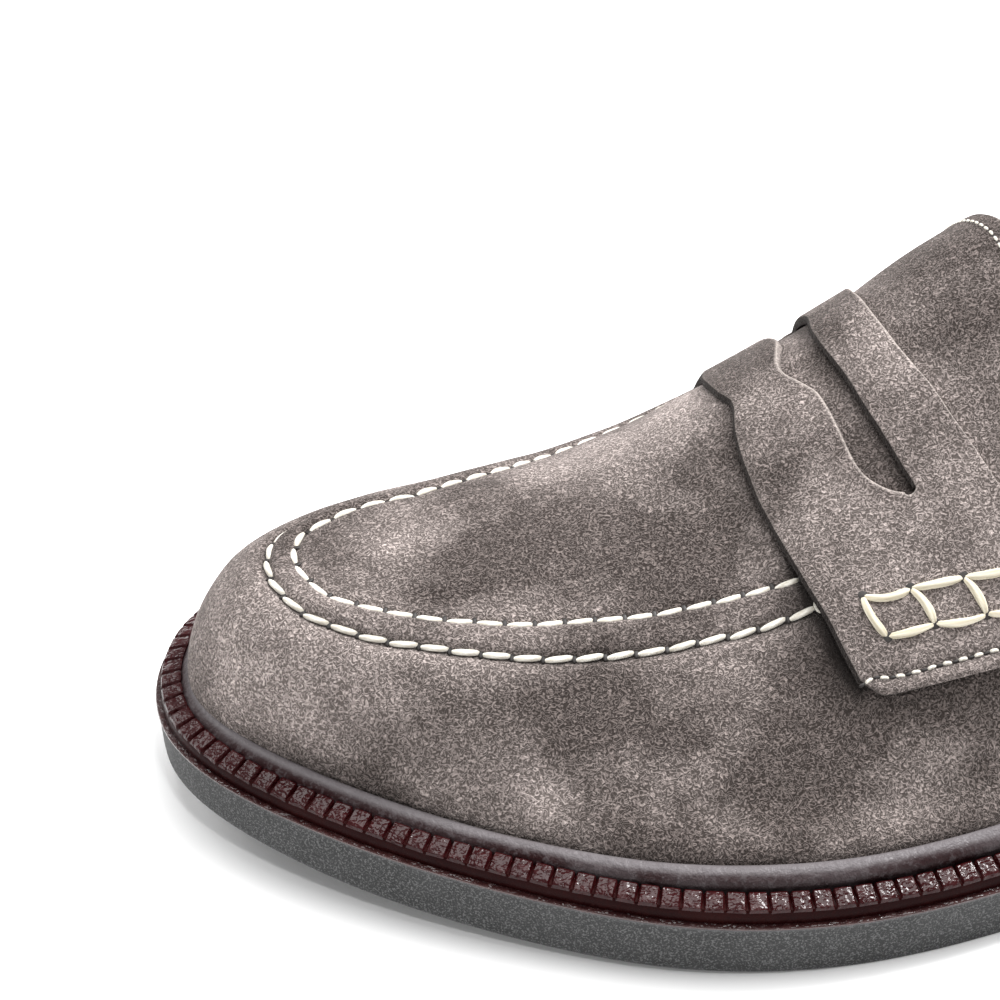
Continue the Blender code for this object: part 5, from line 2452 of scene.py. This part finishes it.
@dataclass
class Studio:
    """White sweep, soft light and the camera."""

    last: Last
    aim: Point = (78.5, -67.7, 0.0)
    distance: float = 900.0
    toe_turn: float = 20.0
    height: float = 36.6
    lens: float = 202.5
    sensor: float = 36.0

    def camera(self) -> None:
        """Set the camera at the picture's angle."""
        turn, rise = math.radians(self.toe_turn), math.radians(self.height)
        back = Vector((math.sin(turn) * math.cos(rise), math.cos(turn) * math.cos(rise), math.sin(rise)))
        aim = Vector(self.last.to_frame(np.array(self.aim)).tolist())
        data = bpy.data.cameras.new("camera")
        data.lens = self.lens
        data.sensor_width = self.sensor
        data.clip_start = 0.05
        data.clip_end = 50.0
        eye = place("camera", data)
        eye.location = aim + back * self.distance * MM
        eye.rotation_mode = "QUATERNION"
        eye.rotation_quaternion = (-back).to_track_quat("-Z", "Y")
        bpy.context.scene.camera = eye

    @staticmethod
    def floor(finish: Material) -> None:
        """Lay the pale floor.

        Args:
            finish: Its paper.
        """
        mesh = bpy.data.meshes.new("floor")
        reach, level = 6.0, -0.0001
        corners = [(x * reach, y * reach, level) for x, y in ((-1, -1), (1, -1), (1, 1), (-1, 1))]
        mesh.from_pydata(corners, [], [(0, 1, 2, 3)])
        mesh.materials.append(finish)
        place("floor", mesh)

    @staticmethod
    def lamp(name: str, spot: Point, size: tuple[float, float], power: float) -> None:
        """Hang one soft box.

        Args:
            name: Name of the lamp.
            spot: Where it hangs, in metres.
            size: Its sides.
            power: Watts.
        """
        aim = (0.05, 0.0, 0.03)
        data = bpy.data.lights.new(name, "AREA")
        data.shape = "RECTANGLE"
        data.size, data.size_y = size
        data.energy = power
        lamp = place(name, data)
        lamp.location = spot
        lamp.rotation_mode = "QUATERNION"
        lamp.rotation_quaternion = (Vector(aim) - Vector(spot)).to_track_quat("-Z", "Y")

    def light(self) -> None:
        """Light the set from above, mostly from the heel's side."""
        world = bpy.data.worlds.new("studio")
        world.use_nodes = True
        world.node_tree.nodes["Background"].inputs["Color"].default_value = (1.0, 1.0, 1.0, 1.0)
        world.node_tree.nodes["Background"].inputs["Strength"].default_value = 0.42
        bpy.context.scene.world = world
        self.lamp("key", (-0.75, -0.25, 1.15), (0.36, 0.36), 26.0)
        self.lamp("top", (0.0, -0.15, 1.35), (1.0, 0.8), 16.0)
        self.lamp("rim", (0.75, -0.85, 0.75), (0.8, 0.5), 7.0)
        self.lamp("glint", (0.25, 0.60, 0.95), (0.08, 0.08), 2.6)
        view = bpy.context.scene.view_settings
        view.view_transform = "Standard"
        view.look = "None"


def all_finishes(effects: Effects) -> dict[str, Material]:
    """Build every material.

    Args:
        effects: Shared shader groups.

    Returns:
        Materials by name.
    """
    finishes = (
        Suede("suede"),
        Suede("strap_suede", cloud_scale=36.0),
        Suede("tongue_suede", cloud_scale=26.0),
        # The bead's pale colour is its painted sheen.
        DressedEdge(
            "bead_dye", (0.014, 0.0022, 0.0027), (0.130, 0.117, 0.122),
            roughness=0.36, coat=0.0, gloss=0.14, pore_scale=1000.0, grain=0.0006,
        ),
        DressedEdge(
            "flange_dye", (0.010, 0.0014, 0.0016), (0.026, 0.0045, 0.004),
            roughness=0.28, coat=0.0, gloss=0.04,
        ),
        DressedEdge(
            "block_dye", (0.022, 0.0026, 0.0032), (0.056, 0.011, 0.012),
            roughness=0.16, coat=0.0, gloss=0.22, pore_scale=620.0, grain=0.0009,
        ),
        DressedEdge(
            "lip_dye", (0.014, 0.003, 0.0035), (0.080, 0.030, 0.028),
            roughness=0.20, coat=0.7, gloss=0.4, pore_scale=700.0, grain=0.0010,
        ),
        Rubber("outsole_grey"),
        Rubber("heel_grey", base=(0.033, 0.0335, 0.034)),
        Thread("ivory_thread"),
        Thread("ladder_thread", base=(0.73, 0.68, 0.55), hollow=(0.36, 0.30, 0.19)),
        SmoothLeather("lining_tan", (0.40, 0.29, 0.19), (0.47, 0.35, 0.24)),
        SmoothLeather("sock_tan", (0.36, 0.25, 0.16), (0.43, 0.31, 0.21)),
        SmoothLeather("hole", (0.012, 0.009, 0.008), (0.020, 0.015, 0.013)),
        PaleFloor("floor_white"),
    )
    return {finish.name: finish.material(effects) for finish in finishes}


def main() -> None:
    """Build the shoe round its frame."""
    logging.basicConfig(level=logging.INFO, format="%(name)s: %(message)s")
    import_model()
    last = Last()
    sole = SoleUnit(last)
    last.settle(*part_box("midsole"), sole.proud)
    finishes = all_finishes(Effects())
    repeater = PathRepeater(last)
    shapes = {"stitch": stitch_shape("stitch"), "hole": hole_shape("hole"), "block": block_shape("block")}

    mount(sole.build_outsole(finishes["outsole_grey"]), "outsole_rubber", "outsole")
    mount(sole.build_heel(finishes["heel_grey"]), "heel_rubber", "heel")
    mount(sole.build_midsole(finishes["lip_dye"]), "midsole_edge", "midsole")
    mount(sole.build_sock(finishes["sock_tan"]), "sock", "insole")

    welt = StormWelt(last)
    mount(welt.build_flange(finishes["flange_dye"]), "welt_strip", "welt")
    mount(welt.build_bead(finishes["bead_dye"]), "welt_strip")
    mount(welt.build_blocks(repeater, shapes["block"], finishes["block_dye"]), "welt_strip")

    upper = Upper(last)
    mount(upper.build_suede(finishes["suede"]), "suede", "upper")
    mount(upper.build_lining(finishes["lining_tan"]), "sock")
    saddle = Saddle(upper)
    mount(saddle.build(finishes["strap_suede"]), "strap_suede", "saddle")
    tongue = Tongue(upper)
    mount(tongue.build(finishes["tongue_suede"]), "tongue_suede", "tongue")

    heavy = StitchRow(pitch=4.5, length=4.95, width=1.12, height=0.95, hole=2.1, slant=6.0, waver=3.0)
    second = StitchRow(
        pitch=4.4, length=4.4, width=1.16, height=0.92, hole=1.75, slant=3.0, waver=3.0, seed=5
    )
    fine = StitchRow(
        pitch=2.4, length=1.55, width=0.64, height=0.56, hole=0.6, hole_along=1.2, waver=9.0, seed=7
    )
    tiny = StitchRow(
        pitch=1.5, length=1.15, width=0.5, height=0.4, hole=0.4, hole_along=0.6, waver=6.0, seed=9
    )
    rows = [
        ("apron_outer_stitches", heavy, upper.seam_path(upper.row_outer, lift=0.30, start_x=57.0)),
        ("apron_inner_stitches", second, upper.seam_path(upper.row_inner, lift=0.25, start_x=58.0)),
        ("hem_stitches_outer", fine, saddle.hem_path(Side.OUTER)),
        ("hem_stitches_inner", fine, saddle.hem_path(Side.INNER)),
        ("tongue_stitches", tiny, tongue.edge_path()),
        ("collar_stitches", fine, upper.collar_path(below=2.6, lift=0.15)),
    ]
    for name, row, line in rows:
        for piece in row.lay(name, line, repeater, shapes, finishes):
            mount(piece, "suede")
    mount(upper.loop(x=60.6).piece("apron_thread_loop", finishes["ivory_thread"], 80.0), "suede")
    for side in Side:
        word = side.name.lower()
        holes = saddle.ladder_holes(side).piece("ladder_holes_" + word, finishes["hole"], 60.0)
        mount(holes, "strap_suede")
        mount(saddle.ladder(side).piece("ladder_" + word, finishes["ladder_thread"], 80.0), "strap_suede")
    for shape in shapes.values():
        bpy.data.objects.remove(shape, do_unlink=True)

    studio = Studio(last)
    studio.floor(finishes["floor_white"])
    studio.light()
    studio.camera()


if __name__ == "__main__":
    main()
